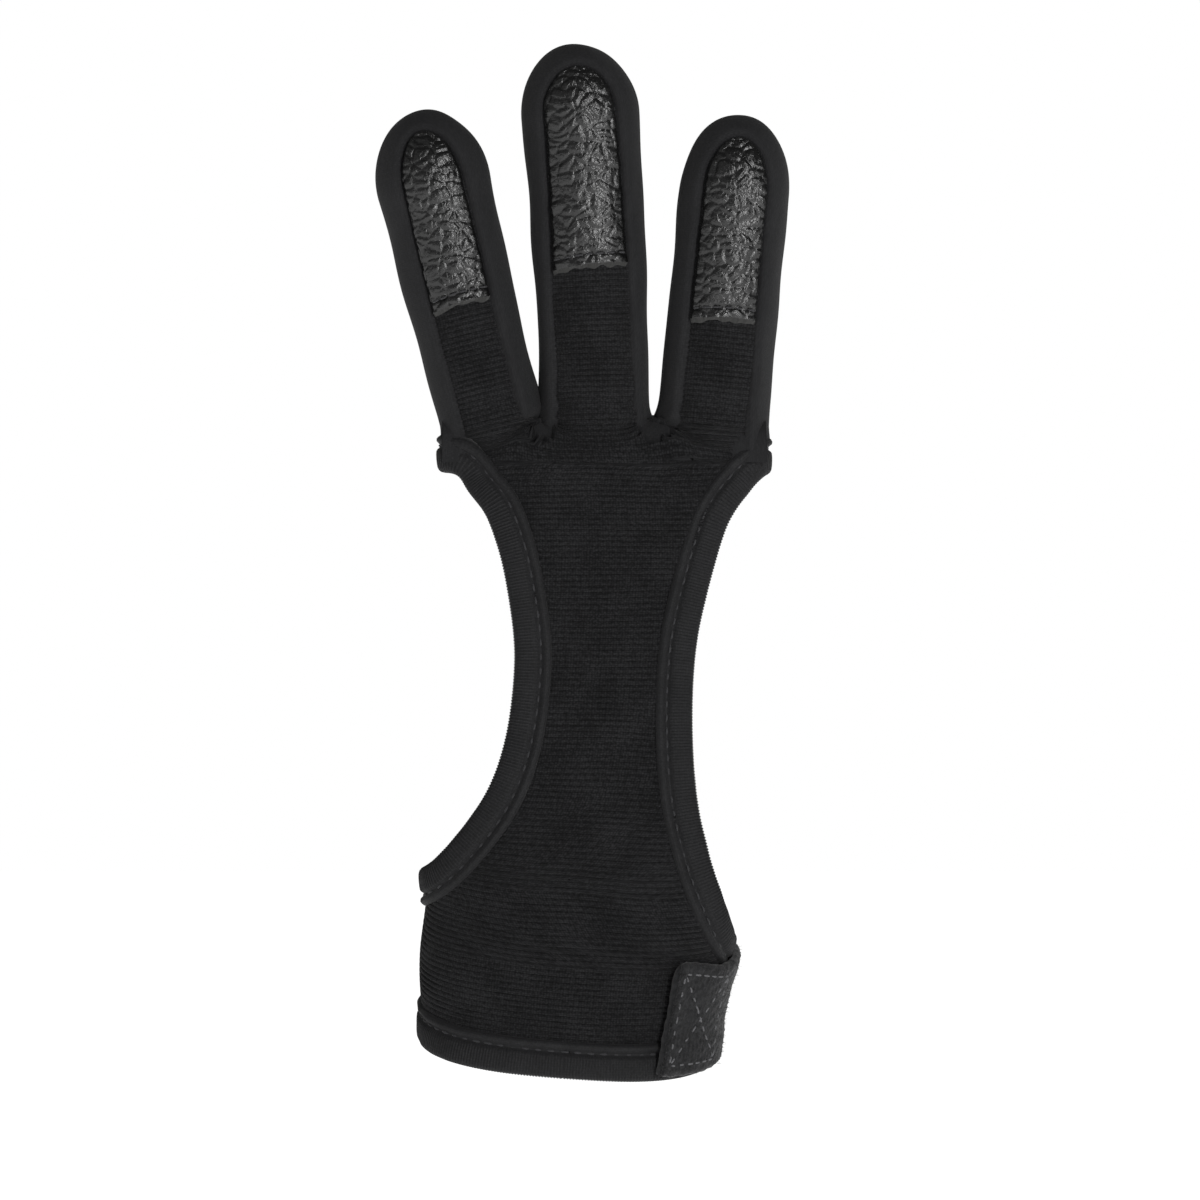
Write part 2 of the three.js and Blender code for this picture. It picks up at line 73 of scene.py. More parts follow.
# lengths in millimetres, tilts in degrees to the left, windows as shares of the width
fingerForm = [
    {"name": "ring", "root": -0.68, "rootTilt": 14.5, "tipTilt": 13.0, "length": 65.0, "rootWidth": 20.2,
     "tipWidth": 22.8, "depth": 19.4, "dome": 15.6, "curl": 2.5, "windowRoot": 0.66, "windowTip": 0.57,
     "windowRise": 0.73, "padLength": 40.0, "padSkew": 17.0},
    {"name": "middle", "root": -0.05, "rootTilt": 1.2, "tipTilt": 4.6, "length": 76.6, "rootWidth": 21.4,
     "tipWidth": 23.6, "depth": 20.6, "dome": 14.0, "curl": 3.0, "windowRoot": 0.82, "windowTip": 0.65,
     "windowRise": 0.67, "padLength": 44.8, "padSkew": 6.5},
    {"name": "index", "root": 0.665, "rootTilt": -5.2, "tipTilt": -5.6, "length": 62.8, "rootWidth": 22.0,
     "tipWidth": 21.8, "depth": 19.8, "dome": 15.8, "curl": 2.5, "windowRoot": 0.68, "windowTip": 0.63,
     "windowRise": 0.7, "padLength": 41.5, "padSkew": -2.4},
]
fingerSetForward = 1.5
fingerDepths = [
    {"along": 0, "depth": 1.04},
    {"along": 0.35, "depth": 1},
    {"along": 0.7, "depth": 1},
    {"along": 1, "depth": 0.97},
]
stripDrop = 1.4  # the palm cloth lies this far under the crown of a stall

# outer edges of the two side openings: share of palmHeight, share of the half width
openingEdges = {
    "little": [
        {"rise": 0.93, "reach": -1.5}, {"rise": 0.929, "reach": -1.05}, {"rise": 0.925, "reach": -0.91},
        {"rise": 0.897, "reach": -0.82}, {"rise": 0.855, "reach": -0.648}, {"rise": 0.786, "reach": -0.5},
        {"rise": 0.684, "reach": -0.385}, {"rise": 0.602, "reach": -0.365}, {"rise": 0.5, "reach": -0.425},
        {"rise": 0.409, "reach": -0.566}, {"rise": 0.322, "reach": -0.843}, {"rise": 0.286, "reach": -1.03},
        {"rise": 0.271, "reach": -1.25}, {"rise": 0.261, "reach": -1.6},
    ],
    "thumb": [
        {"rise": 0.931, "reach": 1.5}, {"rise": 0.927, "reach": 1.05}, {"rise": 0.916, "reach": 0.95},
        {"rise": 0.898, "reach": 0.896}, {"rise": 0.847, "reach": 0.758}, {"rise": 0.745, "reach": 0.654},
        {"rise": 0.643, "reach": 0.597}, {"rise": 0.521, "reach": 0.596}, {"rise": 0.399, "reach": 0.649},
        {"rise": 0.297, "reach": 0.768}, {"rise": 0.21, "reach": 0.945}, {"rise": 0.164, "reach": 1.06},
        {"rise": 0.142, "reach": 1.2}, {"rise": 0.132, "reach": 1.6},
    ],
}


def readTable(rows, key, at, column):
    keys = np.array([row[key] for row in rows], float)
    values = np.array([row[column] for row in rows], float)
    at = np.clip(at, keys[0], keys[-1])
    i = np.clip(np.searchsorted(keys, at) - 1, 0, len(keys) - 2)
    before = np.maximum(i - 1, 0)
    after = np.minimum(i + 2, len(keys) - 1)
    span = keys[i + 1] - keys[i]
    s = (at - keys[i]) / span
    slopeIn = (values[i + 1] - values[before]) / (keys[i + 1] - keys[before]) * span
    slopeOut = (values[after] - values[i]) / (keys[after] - keys[i]) * span
    return ((2 * s**3 - 3 * s**2 + 1) * values[i] + (s**3 - 2 * s**2 + s) * slopeIn
            + (3 * s**2 - 2 * s**3) * values[i + 1] + (s**3 - s**2) * slopeOut)


def palmAt(z):
    rise = np.asarray(z, float) / palmForm["palmHeight"]
    read = lambda column: readTable(palmForm["sections"], "rise", rise, column)
    return (read("lean") * palmForm["lean"], read("halfWidth") * palmForm["width"] / 2,
            read("front") * palmForm["depth"] / 2, read("back") * palmForm["depth"] / 2)


def palmPoint(angle, z):
    centre, halfWidth, front, back = palmAt(z)
    power = 2 / palmForm["squareness"]
    across = np.sign(np.sin(angle)) * np.abs(np.sin(angle)) ** power
    through = -np.sign(np.cos(angle)) * np.abs(np.cos(angle)) ** power
    depth = np.where(through < 0, front, back)
    return np.stack([centre + across * halfWidth, through * depth, z + 0 * across], -1)


def smoothstep(low, high, x):
    s = np.clip((x - low) / (high - low), 0, 1)
    return s * s * (3 - 2 * s)


def hemLean(p):
    return palmForm["hemLeanX"] * p[..., 0] + palmForm["hemLeanY"] * p[..., 1]


def fingerAt(finger, distance):
    straight = finger["length"] - finger["dome"]
    share = np.asarray(distance, float) / straight
    up = np.clip(share, 0, 1)
    tiltHere = np.radians(finger["rootTilt"] + (finger["tipTilt"] - finger["rootTilt"]) * up)
    tiltMean = (math.radians(finger["rootTilt"]) + tiltHere) / 2
    centre = float(palmAt(palmForm["palmHeight"])[0])
    root = centre + finger["root"] * palmForm["width"] / 2
    beyond = np.maximum(share, 0)
    width = finger["rootWidth"] + (finger["tipWidth"] - finger["rootWidth"]) * np.minimum(beyond, 1)
    return {
        "x": root - np.sin(tiltMean) * distance,
        "z": palmForm["palmHeight"] + np.cos(tiltMean) * distance,
        "y": -fingerSetForward - finger["curl"] * np.minimum(beyond, 1.5) ** 2,
        "aheadX": -np.sin(tiltHere),
        "aheadZ": np.cos(tiltHere),
        "halfWidth": width / 2,
        "halfDepth": readTable(fingerDepths, "along", beyond, "depth") * finger["depth"] / 2,
        "window": finger["windowRoot"] + (finger["windowTip"] - finger["windowRoot"]) * up,
    }


def palmField(p):
    centre, halfWidth, front, back = palmAt(p[..., 2])
    x = (p[..., 0] - centre) / halfWidth
    y = p[..., 1] / np.where(p[..., 1] < 0, front, back)
    n = palmForm["squareness"]
    g = np.maximum((np.abs(x) ** n + np.abs(y) ** n) ** (1 / n), 0.02)
    radius = np.hypot(p[..., 0] - centre, p[..., 1])
    top = palmForm["sections"][-1]["rise"] * palmForm["palmHeight"]
    return np.maximum(np.maximum(radius, 0.1) * (1 - 1 / g), p[..., 2] - top)


def fingerField(finger, p):
    straight = finger["length"] - finger["dome"]
    distance = p[..., 2] - palmForm["palmHeight"]
    for _ in range(3):
        at = fingerAt(finger, np.minimum(distance, straight))
        extra = np.maximum(distance - straight, 0)
        dx = p[..., 0] - at["x"] - at["aheadX"] * extra
        dz = p[..., 2] - at["z"] - at["aheadZ"] * extra
        distance = distance + dx * at["aheadX"] + dz * at["aheadZ"]
    at = fingerAt(finger, np.minimum(distance, straight))
    extra = np.maximum(distance - straight, 0)
    side = (p[..., 0] - at["x"]) * at["aheadZ"] - (p[..., 2] - at["z"]) * at["aheadX"]
    out = p[..., 1] - at["y"]
    g = np.sqrt((side / at["halfWidth"]) ** 2 + (out / at["halfDepth"]) ** 2 + (extra / finger["dome"]) ** 2)
    radius = np.sqrt(side**2 + out**2 + extra**2)
    return np.maximum(radius, 0.1) * (1 - 1 / np.maximum(g, 0.02)) + np.maximum(-distance - 1, 0) * 0.45


def gloveField(p, drop=0.0):
    field = palmField(p)
    k = palmForm["blend"]
    for finger in fingerForm:
        other = fingerField(finger, p) + drop
        h = np.clip(0.5 + 0.5 * (other - field) / k, 0, 1)
        field = other * (1 - h) + field * h - k * h * (1 - h)
    return field


def fieldNormal(p, drop=0.0, step=0.15):
    axes = np.eye(3) * step
    n = np.stack([gloveField(p + a, drop) - gloveField(p - a, drop) for a in axes], -1)
    return n / np.maximum(np.linalg.norm(n, axis=-1, keepdims=True), 1e-9)


def ontoField(p, direction=None, drop=0.0, rounds=5, most=6.0):
    moved = np.zeros(p.shape[:-1])
    way = direction if direction is not None else fieldNormal(p, drop)
    for _ in range(rounds):
        here = p + way * moved[..., None]
        value = gloveField(here, drop)
        slope = (gloveField(here + way * 0.1, drop) - value) / 0.1
        moved = np.clip(moved - value / np.maximum(slope, 0.35), -most, most)
    return p + way * moved[..., None]


def ripple(x, y, size, seed):
    # a soft random swell with waves about as long as size
    waves = np.random.default_rng(seed)
    total = 0
    for _ in range(7):
        angle = waves.uniform(0, 2 * math.pi)
        turn = waves.uniform(0, 2 * math.pi)
        k = 2 * math.pi / (size * waves.uniform(0.7, 1.5))
        total = total + np.sin(k * (x * math.cos(angle) + y * math.sin(angle)) + turn)
    return total / math.sqrt(7)


def pebbles(x, y, cell, seed):
    # gap between the nearest and the second nearest of scattered points: 0 along the creases
    scatter = np.random.default_rng(seed).random((64, 64, 2))
    x = x / cell
    y = y / cell
    columns = np.floor(x).astype(int)
    rows = np.floor(y).astype(int)
    nearest = np.full(x.shape, 9.0)
    second = np.full(x.shape, 9.0)
    for across in (-1, 0, 1):
        for up in (-1, 0, 1):
            spot = scatter[(columns + across) % 64, (rows + up) % 64]
            away = np.hypot(columns + across + spot[..., 0] - x, rows + up + spot[..., 1] - y)
            second = np.minimum(second, np.maximum(nearest, away))
            nearest = np.minimum(nearest, away)
    return second - nearest


def seamAngle(z, y):
    # where round the palm section the depth is y
    centre, halfWidth, front, back = palmAt(z)
    depth = np.where(y < 0, front, back)
    return np.arccos(np.clip(-np.sign(y) * (np.abs(y) / depth) ** (palmForm["squareness"] / 2), -1, 1))


def openingCurve(side, inset, count=600):
    # the opening's edge seen from the front, moved by inset into the cloth
    rows = openingEdges[side]
    steps = [{"at": i, **row} for i, row in enumerate(rows)]
    at = np.linspace(0, len(rows) - 1, count)
    z = readTable(steps, "at", at, "rise") * palmForm["palmHeight"]
    centre, halfWidth, front, back = palmAt(z)
    x = centre + readTable(steps, "at", at, "reach") * halfWidth
    along = np.stack([np.gradient(x), np.gradient(z)], -1)
    along /= np.linalg.norm(along, axis=-1, keepdims=True)
    sign = -1 if side == "thumb" else 1
    return x - sign * along[:, 1] * inset, z + sign * along[:, 0] * inset


def clothEnd(side, z, y, inset):
    # angles round the section where the palm cloth and the back cloth end on one side
    x, edgeZ = openingCurve(side, inset)
    order = np.argsort(edgeZ)
    centre, halfWidth, front, back = palmAt(z)
    reach = np.abs(np.interp(z, edgeZ[order], x[order]) - centre) / halfWidth
    reach = np.where((z < edgeZ.min()) | (z > edgeZ.max()), 2, reach)
    edge = np.arcsin(np.clip(reach, 0, 1) ** (palmForm["squareness"] / 2))
    seam = seamAngle(z, y)
    share = np.clip((reach - 1) / 0.12, 0, 1)
    return edge + (seam - edge) * share, np.where(reach < 1, math.pi - edge, seam)


def gridFaces(rows, columns, start=0, flip=False, loop=False, ring=False):
    index = start + np.arange(rows * columns).reshape(rows, columns)
    if loop:
        index = np.concatenate([index, index[:1]])
    if ring:
        index = np.concatenate([index, index[:, :1]], 1)
    quads = np.stack([index[:-1, :-1], index[:-1, 1:], index[1:, 1:], index[1:, :-1]], -1).reshape(-1, 4)
    return quads[:, ::-1] if flip else quads


def rimOf(rows, columns, start):
    index = start + np.arange(rows * columns).reshape(rows, columns)
    return [index[0], index[:, -1], index[-1, ::-1], index[::-1, 0]]


def shell(outer, inner, uv, rowStep, columnStep, flip=False):
    # two layers of cloth, the inner one coarser, joined all round by a rim
    size = outer.shape[0] * outer.shape[1]
    faces = [gridFaces(*outer.shape[:2], flip=flip), gridFaces(*inner.shape[:2], start=size, flip=not flip)]
    rim = []
    sides = zip(rimOf(*outer.shape[:2], 0), rimOf(*inner.shape[:2], size), (columnStep, rowStep) * 2)
    for top, under, step in sides:
        for i in range(len(top) - 1):
            now = under[min(i // step, len(under) - 1)]
            later = under[min((i + 1) // step, len(under) - 1)]
            rim.append((top[i + 1], top[i], now))
            if later != now:
                rim.append((top[i + 1], now, later))
    rim = np.array(rim)
    faces.append(rim[:, ::-1] if flip else rim)
    points = np.concatenate([outer.reshape(-1, 3), inner.reshape(-1, 3)])
    flat = np.concatenate([uv.reshape(-1, 2), uv[::rowStep, ::columnStep].reshape(-1, 2)])
    return {"points": points, "faces": faces, "uv": flat, "materials": [0, 0, 1]}


def addPiece(name, parts, materials, sharpAbove=None, weld=0.0):
    # one mesh from several parts, in metres, with its texture map in millimetres
    corners = []
    sizes = []
    kinds = []
    start = 0
    for part in parts:
        chosen = part.get("materials", [0] * len(part["faces"]))
        for faces, kind in zip(part["faces"], chosen):
            corners.append((faces + start).reshape(-1))
            sizes.append(np.full(len(faces), faces.shape[1]))
            kinds.append(np.full(len(faces), min(kind, len(materials) - 1)))
        start += len(part["points"])
    points = np.concatenate([part["points"] for part in parts])
    uv = np.concatenate([part["uv"] for part in parts])
    corners = np.concatenate(corners)
    sizes = np.concatenate(sizes)
    mesh = bpy.data.meshes.new(name)
    mesh.vertices.add(len(points))
    mesh.vertices.foreach_set("co", (points * metre).astype(np.float32).ravel())
    mesh.loops.add(len(corners))
    mesh.loops.foreach_set("vertex_index", corners.astype(np.int32))
    mesh.polygons.add(len(sizes))
    mesh.polygons.foreach_set("loop_start", (np.cumsum(sizes) - sizes).astype(np.int32))
    mesh.polygons.foreach_set("material_index", np.concatenate(kinds).astype(np.int32))
    mesh.polygons.foreach_set("use_smooth", np.ones(len(sizes), bool))
    mesh.uv_layers.new(name="millimetres").data.foreach_set("uv", uv[corners].astype(np.float32).ravel())
    for material in materials:
        mesh.materials.append(material)
    mesh.update(calc_edges=True)
    mesh.validate()
    if weld:
        shape = bmesh.new()
        shape.from_mesh(mesh)
        bmesh.ops.remove_doubles(shape, verts=shape.verts, dist=weld * metre)
        shape.to_mesh(mesh)
        shape.free()
    if sharpAbove:
        mesh.set_sharp_from_angle(angle=math.radians(sharpAbove))
    piece = bpy.data.objects.new(name, mesh)
    bpy.context.scene.collection.objects.link(piece)
    return piece


def linear(hexColour):
    # sRGB hex to the linear colour that the shader takes
    parts = [int(hexColour[i:i + 2], 16) / 255 for i in (1, 3, 5)]
    return [p / 12.92 if p <= 0.04045 else ((p + 0.055) / 1.055) ** 2.4 for p in parts] + [1.0]


def addNode(tree, kind, settings=None, links=None):
    # settings: socket or property values; links: input socket -> output socket of another node
    node = tree.nodes.new(kind)
    for key, value in (settings or {}).items():
        if isinstance(key, int) or key in node.inputs:
            node.inputs[key].default_value = value
        else:
            setattr(node, key, value)
    for key, source in (links or {}).items():
        tree.links.new(source, node.inputs[key])
    return node


def newMaterial(name):
    material = bpy.data.materials.new(name)
    material.use_nodes = True
    tree = material.node_tree
    tree.nodes.clear()
    output = addNode(tree, "ShaderNodeOutputMaterial")
    return material, tree, output


# Materials

clothLook = {
    "ribbed": "#1b1b1c",
    "smooth": "#222223",
    "tape": "#1e1e1f",
    "leather": "#090909",
    "cutEdge": "#323231",
    "felt": "#232324",
    "thread": "#303032",
    "strapThread": "#5c5c5e",
    "lining": "#202021",
}


def knitMaterial(name, colour, stitchWidth, stitchLength, depth, roughness, sheen, paintedLoopShading):
    # knitted polyester: matt, with fine loops and a soft glow of fuzz at glancing angles
    material, tree, output = newMaterial(name)
    where = addNode(tree, "ShaderNodeUVMap", {"uv_map": "millimetres"})
    size = (1 / stitchWidth, 1 / stitchLength, 1)
    scaled = addNode(tree, "ShaderNodeMapping", {"Scale": size}, {"Vector": where.outputs["UV"]})
    loops = addNode(tree, "ShaderNodeTexVoronoi", {"Scale": 1.0, "Randomness": 0.45},
                    {"Vector": scaled.outputs["Vector"]})
    fuzz = addNode(tree, "ShaderNodeTexNoise", {"Scale": 2.4, "Detail": 6.0, "Roughness": 0.7},
                   {"Vector": scaled.outputs["Vector"]})
    both = addNode(tree, "ShaderNodeMath", {"operation": "SUBTRACT"},
                   {0: fuzz.outputs["Fac"], 1: loops.outputs["Distance"]})
    bump = addNode(tree, "ShaderNodeBump", {"Strength": 0.8, "Distance": depth * metre},
                   {"Height": both.outputs["Value"]})
    patch = addNode(tree, "ShaderNodeTexNoise", {"Scale": 0.12, "Detail": 3.0},
                    {"Vector": where.outputs["UV"]})
    # painted light and shade: the colour is lighter where the loops stand high and darker in the gaps
    # between them, over large random patches of tone
    loopShadingAndPatches = addNode(tree, "ShaderNodeMath", {"operation": "MULTIPLY_ADD", 1: 0.5},
                     {0: patch.outputs["Fac"], 2: both.outputs["Value"]})
    tint = addNode(tree, "ShaderNodeValToRGB", links={"Fac": loopShadingAndPatches.outputs["Value"]})
    base = linear(colour)
    tint.color_ramp.elements[0].position = 0.1
    tint.color_ramp.elements[0].color = [c * (1 - paintedLoopShading) for c in base[:3]] + [1]
    tint.color_ramp.elements[1].position = 0.75
    tint.color_ramp.elements[1].color = [c * (1 + 2 * paintedLoopShading) for c in base[:3]] + [1]
    surface = addNode(tree, "ShaderNodeBsdfPrincipled",
                      {"Roughness": roughness, "IOR": 1.5, "Sheen Weight": sheen, "Sheen Roughness": 0.45,
                       "Specular IOR Level": 0.15},
                      {"Base Color": tint.outputs["Color"], "Normal": bump.outputs["Normal"]})
    tree.links.new(surface.outputs["BSDF"], output.inputs["Surface"])
    return material


def leatherMaterial(name, colour):
    # full-grain cowhide with a thin black finish: broken gloss on the pebbles, duller in the creases
    material, tree, output = newMaterial(name)
    where = addNode(tree, "ShaderNodeUVMap", {"uv_map": "millimetres"})
    pores = addNode(tree, "ShaderNodeTexNoise", {"Scale": 3.2, "Detail": 8.0, "Roughness": 0.65},
                    {"Vector": where.outputs["UV"]})
    creases = addNode(tree, "ShaderNodeTexVoronoi", {"Scale": 1.1, "feature": "DISTANCE_TO_EDGE"},
                      {"Vector": where.outputs["UV"]})
    cut = addNode(tree, "ShaderNodeMapRange", {"From Max": 0.12}, {"Value": creases.outputs["Distance"]})
    height = addNode(tree, "ShaderNodeMath", {"operation": "ADD"},
                     {0: pores.outputs["Fac"], 1: cut.outputs["Result"]})
    bump = addNode(tree, "ShaderNodeBump", {"Strength": 0.35, "Distance": 0.08 * metre},
                   {"Height": height.outputs["Value"]})
    gloss = addNode(tree, "ShaderNodeMapRange",
                    {"From Min": 0.3, "From Max": 0.7, "To Min": 0.22, "To Max": 0.36},
                    {"Value": pores.outputs["Fac"]})
    surface = addNode(tree, "ShaderNodeBsdfPrincipled",
                      {"Base Color": linear(colour), "IOR": 1.5, "Coat Weight": 0.12, "Coat Roughness": 0.3},
                      {"Roughness": gloss.outputs["Result"], "Normal": bump.outputs["Normal"]})
    tree.links.new(surface.outputs["BSDF"], output.inputs["Surface"])
    return material


def fibreMaterial(name, colour, scale, roughness, sheen, contrast=0.3):
    # loose or cut fibres: no gloss, a mottled colour and a rough, hairy surface
    material, tree, output = newMaterial(name)
    where = addNode(tree, "ShaderNodeUVMap", {"uv_map": "millimetres"})
    hairs = addNode(tree, "ShaderNodeTexNoise", {"Scale": scale, "Detail": 10.0, "Roughness": 0.75},
                    {"Vector": where.outputs["UV"]})
    tint = addNode(tree, "ShaderNodeValToRGB", links={"Fac": hairs.outputs["Fac"]})
    base = linear(colour)
    tint.color_ramp.elements[0].position = 0.35
    tint.color_ramp.elements[0].color = [c * (1 - contrast) for c in base[:3]] + [1]
    tint.color_ramp.elements[1].position = 0.7
    tint.color_ramp.elements[1].color = [c * (1 + contrast) for c in base[:3]] + [1]
    bump = addNode(tree, "ShaderNodeBump", {"Strength": 0.7, "Distance": 0.2 * metre},
                   {"Height": hairs.outputs["Fac"]})
    surface = addNode(tree, "ShaderNodeBsdfPrincipled",
                      {"Roughness": roughness, "IOR": 1.5, "Sheen Weight": sheen, "Sheen Roughness": 0.5,
                       "Specular IOR Level": 0.2},
                      {"Base Color": tint.outputs["Color"], "Normal": bump.outputs["Normal"]})
    tree.links.new(surface.outputs["BSDF"], output.inputs["Surface"])
    return material


# in each knit below the last number is the painted shading: how much lighter the loop tops and how much
# darker the gaps between loops are coloured
# rib knit: one loop is about 0.35 mm wide on the real cloth, drawn at 0.55 mm so that it shows
ribbedKnit = knitMaterial("polyester rib knit", clothLook["ribbed"], 0.55, 0.4, 0.14, 0.95, 0.05, 0.6)
# jersey over foam: 0.25 mm loops, drawn at 0.4 mm
smoothJersey = knitMaterial("brushed jersey over foam", clothLook["smooth"], 0.4, 0.4, 0.05, 0.9, 0.06, 0.2)
liningJersey = knitMaterial("jersey lining", clothLook["lining"], 0.5, 0.5, 0.05, 0.95, 0.05, 0.2)
# grosgrain tape: its cross ribs are in the mesh, the yarn in them is 0.3 mm
ribbedTape = knitMaterial("polyester grosgrain tape", clothLook["tape"], 0.3, 0.5, 0.04, 0.72, 0.06, 0.3)
pebbledLeather = leatherMaterial("black pebbled cowhide", clothLook["leather"])
cutLeather = fibreMaterial("cut edge of the cowhide", clothLook["cutEdge"], 2.5, 0.9, 0.1)
hookFelt = fibreMaterial("brushed loop tape", clothLook["felt"], 0.9, 1.0, 0.15, 0.7)
sewingThread = fibreMaterial("polyester sewing thread", clothLook["thread"], 4.0, 0.6, 0.1, 0.2)
strapThread = fibreMaterial("rubbed strap thread", clothLook["strapThread"], 4.0, 0.8, 0.1, 0.4)


def dress(piece, node):
    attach(piece, "root")
    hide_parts(node)
    return piece


def fingerPoint(finger, distance, side, extra, lower):
    # a point on a stall's front: distance along the straight part, side across, extra into the dome
    at = fingerAt(finger, distance)
    halfWidth = at["halfWidth"] - lower
    halfDepth = at["halfDepth"] - lower
    dome = finger["dome"] - lower
    left = np.clip(1 - (side / halfWidth) ** 2 - (extra / dome) ** 2, 0, 1)
    out = -halfDepth * np.sqrt(left)
    x = at["x"] + at["aheadZ"] * side + at["aheadX"] * extra
    z = at["z"] - at["aheadX"] * side + at["aheadZ"] * extra
    return np.stack([x, at["y"] + out, z], -1)


def arcLength(points, axis):
    steps = np.linalg.norm(np.diff(points, axis=axis), axis=-1)
    return np.concatenate([np.zeros_like(np.take(steps, [0], axis)), np.cumsum(steps, axis)], axis)


# Palm cloth: one ribbed piece from the wrist to the fingers, with a strip up each finger

palmCloth = {
    "thickness": 1.6,
    "ribPitch": 1.1,
    "ribHeight": 0.34,
    "rowsPerRib": 5,
    "foot": 1.3,  # hidden under the hem binding
    "ribs": 112,
    "stripStart": 0.5,  # where the strips leave the palm, above the foot of the fingers
    "edgeInset": 1.6,  # the cloth ends this far inside the fold of the binding
    "seamY": 6.0,
    "columns": {"left": 8, "ring": 18, "ringGap": 6, "middle": 24, "indexGap": 8, "index": 18, "right": 8},
    "turnFrom": 113.0,  # above this the rows turn to face each finger
    "swell": 0.25,
    "flat": (0.1, 0.195),
    "area": 0.0115,
}


def ribProfile(row):
    phase = (row % palmCloth["rowsPerRib"]) / palmCloth["rowsPerRib"]
    return 1 - np.abs(2 * phase - 1) ** 2.6


def seamDepth(z):
    # the side seams lie towards the back at the hem and come forward under the stalls
    return palmCloth["seamY"] - (palmCloth["seamY"] + 1.5) * smoothstep(55, 100, z)


def stripRow(finger, distance, count):
    at = fingerAt(finger, np.array(distance))
    share = np.linspace(-1, 1, count + 1)
    side = share * at["halfWidth"] * at["window"]
    return fingerPoint(finger, np.full(count + 1, distance), side, 0 * side, stripDrop)


def palmTopRow():
    counts = palmCloth["columns"]
    strips = [stripRow(f, palmCloth["stripStart"], counts[f["name"]]) for f in fingerForm]
    z = palmForm["palmHeight"] - 2.0
    centre, halfWidth, front, back = palmAt(z)
    leftSide = np.array([centre - halfWidth, 0.0, z - 1])
    rightSide = np.array([centre + halfWidth, 0.0, z - 1])

    def between(a, b, count, dip):
        share = np.linspace(0, 1, count + 1)[1:-1, None]
        sag = np.array([0, 0, -dip])
        return a + (b - a) * share + sag * np.sin(math.pi * share)

    return np.concatenate([
        leftSide[None], between(leftSide, strips[0][0], counts["left"], 0), strips[0],
        between(strips[0][-1], strips[1][0], counts["ringGap"], -0.8), strips[1],
        between(strips[1][-1], strips[2][0], counts["indexGap"], -1.6), strips[2],
        between(strips[2][-1], rightSide, counts["right"], 0), rightSide[None],
    ])


def ribbed(points, row, uv, normal):
    height = palmCloth["ribHeight"] * (ribProfile(row) - 0.75)
    height = height * (1 + 0.25 * ripple(uv[..., 0], uv[..., 1], 9, 5))
    swell = palmCloth["swell"] * ripple(points[..., 0], points[..., 2], 26, 8)
    # the cloth gathers in small pleats round each crotch
    for x, z in (fingerGap(0), fingerGap(1)):
        away = np.hypot(points[..., 0] - x, points[..., 2] - z)
        turn = np.arctan2(points[..., 0] - x, z - points[..., 2])
        swell = swell + 0.35 * np.cos(turn * 7) * np.exp(-((away - 4) / 4.5) ** 2) * (away > 0.5)
    return points + normal * (height + swell)[..., None]


def fingerGap(index):
    # the crotch between two neighbouring fingers, seen from the front
    a = fingerAt(fingerForm[index], np.array(0.0))
    b = fingerAt(fingerForm[index + 1], np.array(0.0))
    return (a["x"] + a["halfWidth"] + b["x"] - b["halfWidth"]) / 2, palmForm["palmHeight"] + 1.5


def makePalmPanel():
    rows = palmCloth["ribs"] * palmCloth["rowsPerRib"] + 1
    v = palmCloth["foot"] + np.arange(rows) * palmCloth["ribPitch"] / palmCloth["rowsPerRib"]
    top = palmTopRow()
    columns = len(top)
    share = np.linspace(0, 1, columns)
    flatV = v[:, None] + 0 * share
    z = flatV.copy()
    for _ in range(6):
        seam = seamDepth(z)
        left = clothEnd("little", z, seam, palmCloth["edgeInset"])[0]
        right = clothEnd("thumb", z, seam, palmCloth["edgeInset"])[0]
        angle = -left + (left + right) * share
        low = palmPoint(angle, z)
        z = flatV + hemLean(low) * (1 - smoothstep(8, 105, flatV))
        z = z + 0.2 * ripple(low[..., 0], flatV, 22, 3) * smoothstep(4, 20, flatV)
    blend = smoothstep(palmCloth["turnFrom"], v[-1], flatV)[..., None]
    turned = top[None] + np.array([0, 0, 1.0]) * (flatV - v[-1])[..., None]
    points = np.concatenate([low[..., :2], z[..., None]], -1) * (1 - blend) + turned * blend
    points = ontoField(points, drop=stripDrop, rounds=4)
    normal = fieldNormal(points, drop=stripDrop)
    uv = np.stack([arcLength(points, 1), flatV], -1)
    uv[..., 0] -= uv[:, columns // 2, 0][:, None]
    inner = (points - normal * palmCloth["thickness"])[::5, ::3]
    outer = ribbed(points, np.arange(rows)[:, None], uv, normal)
    parts = [shell(outer, inner, uv, 5, 3)]
    for finger in fingerForm:
        parts.append(makeStrip(finger))
    return addPiece("palmPanel", parts, [ribbedKnit, liningJersey], sharpAbove=80)


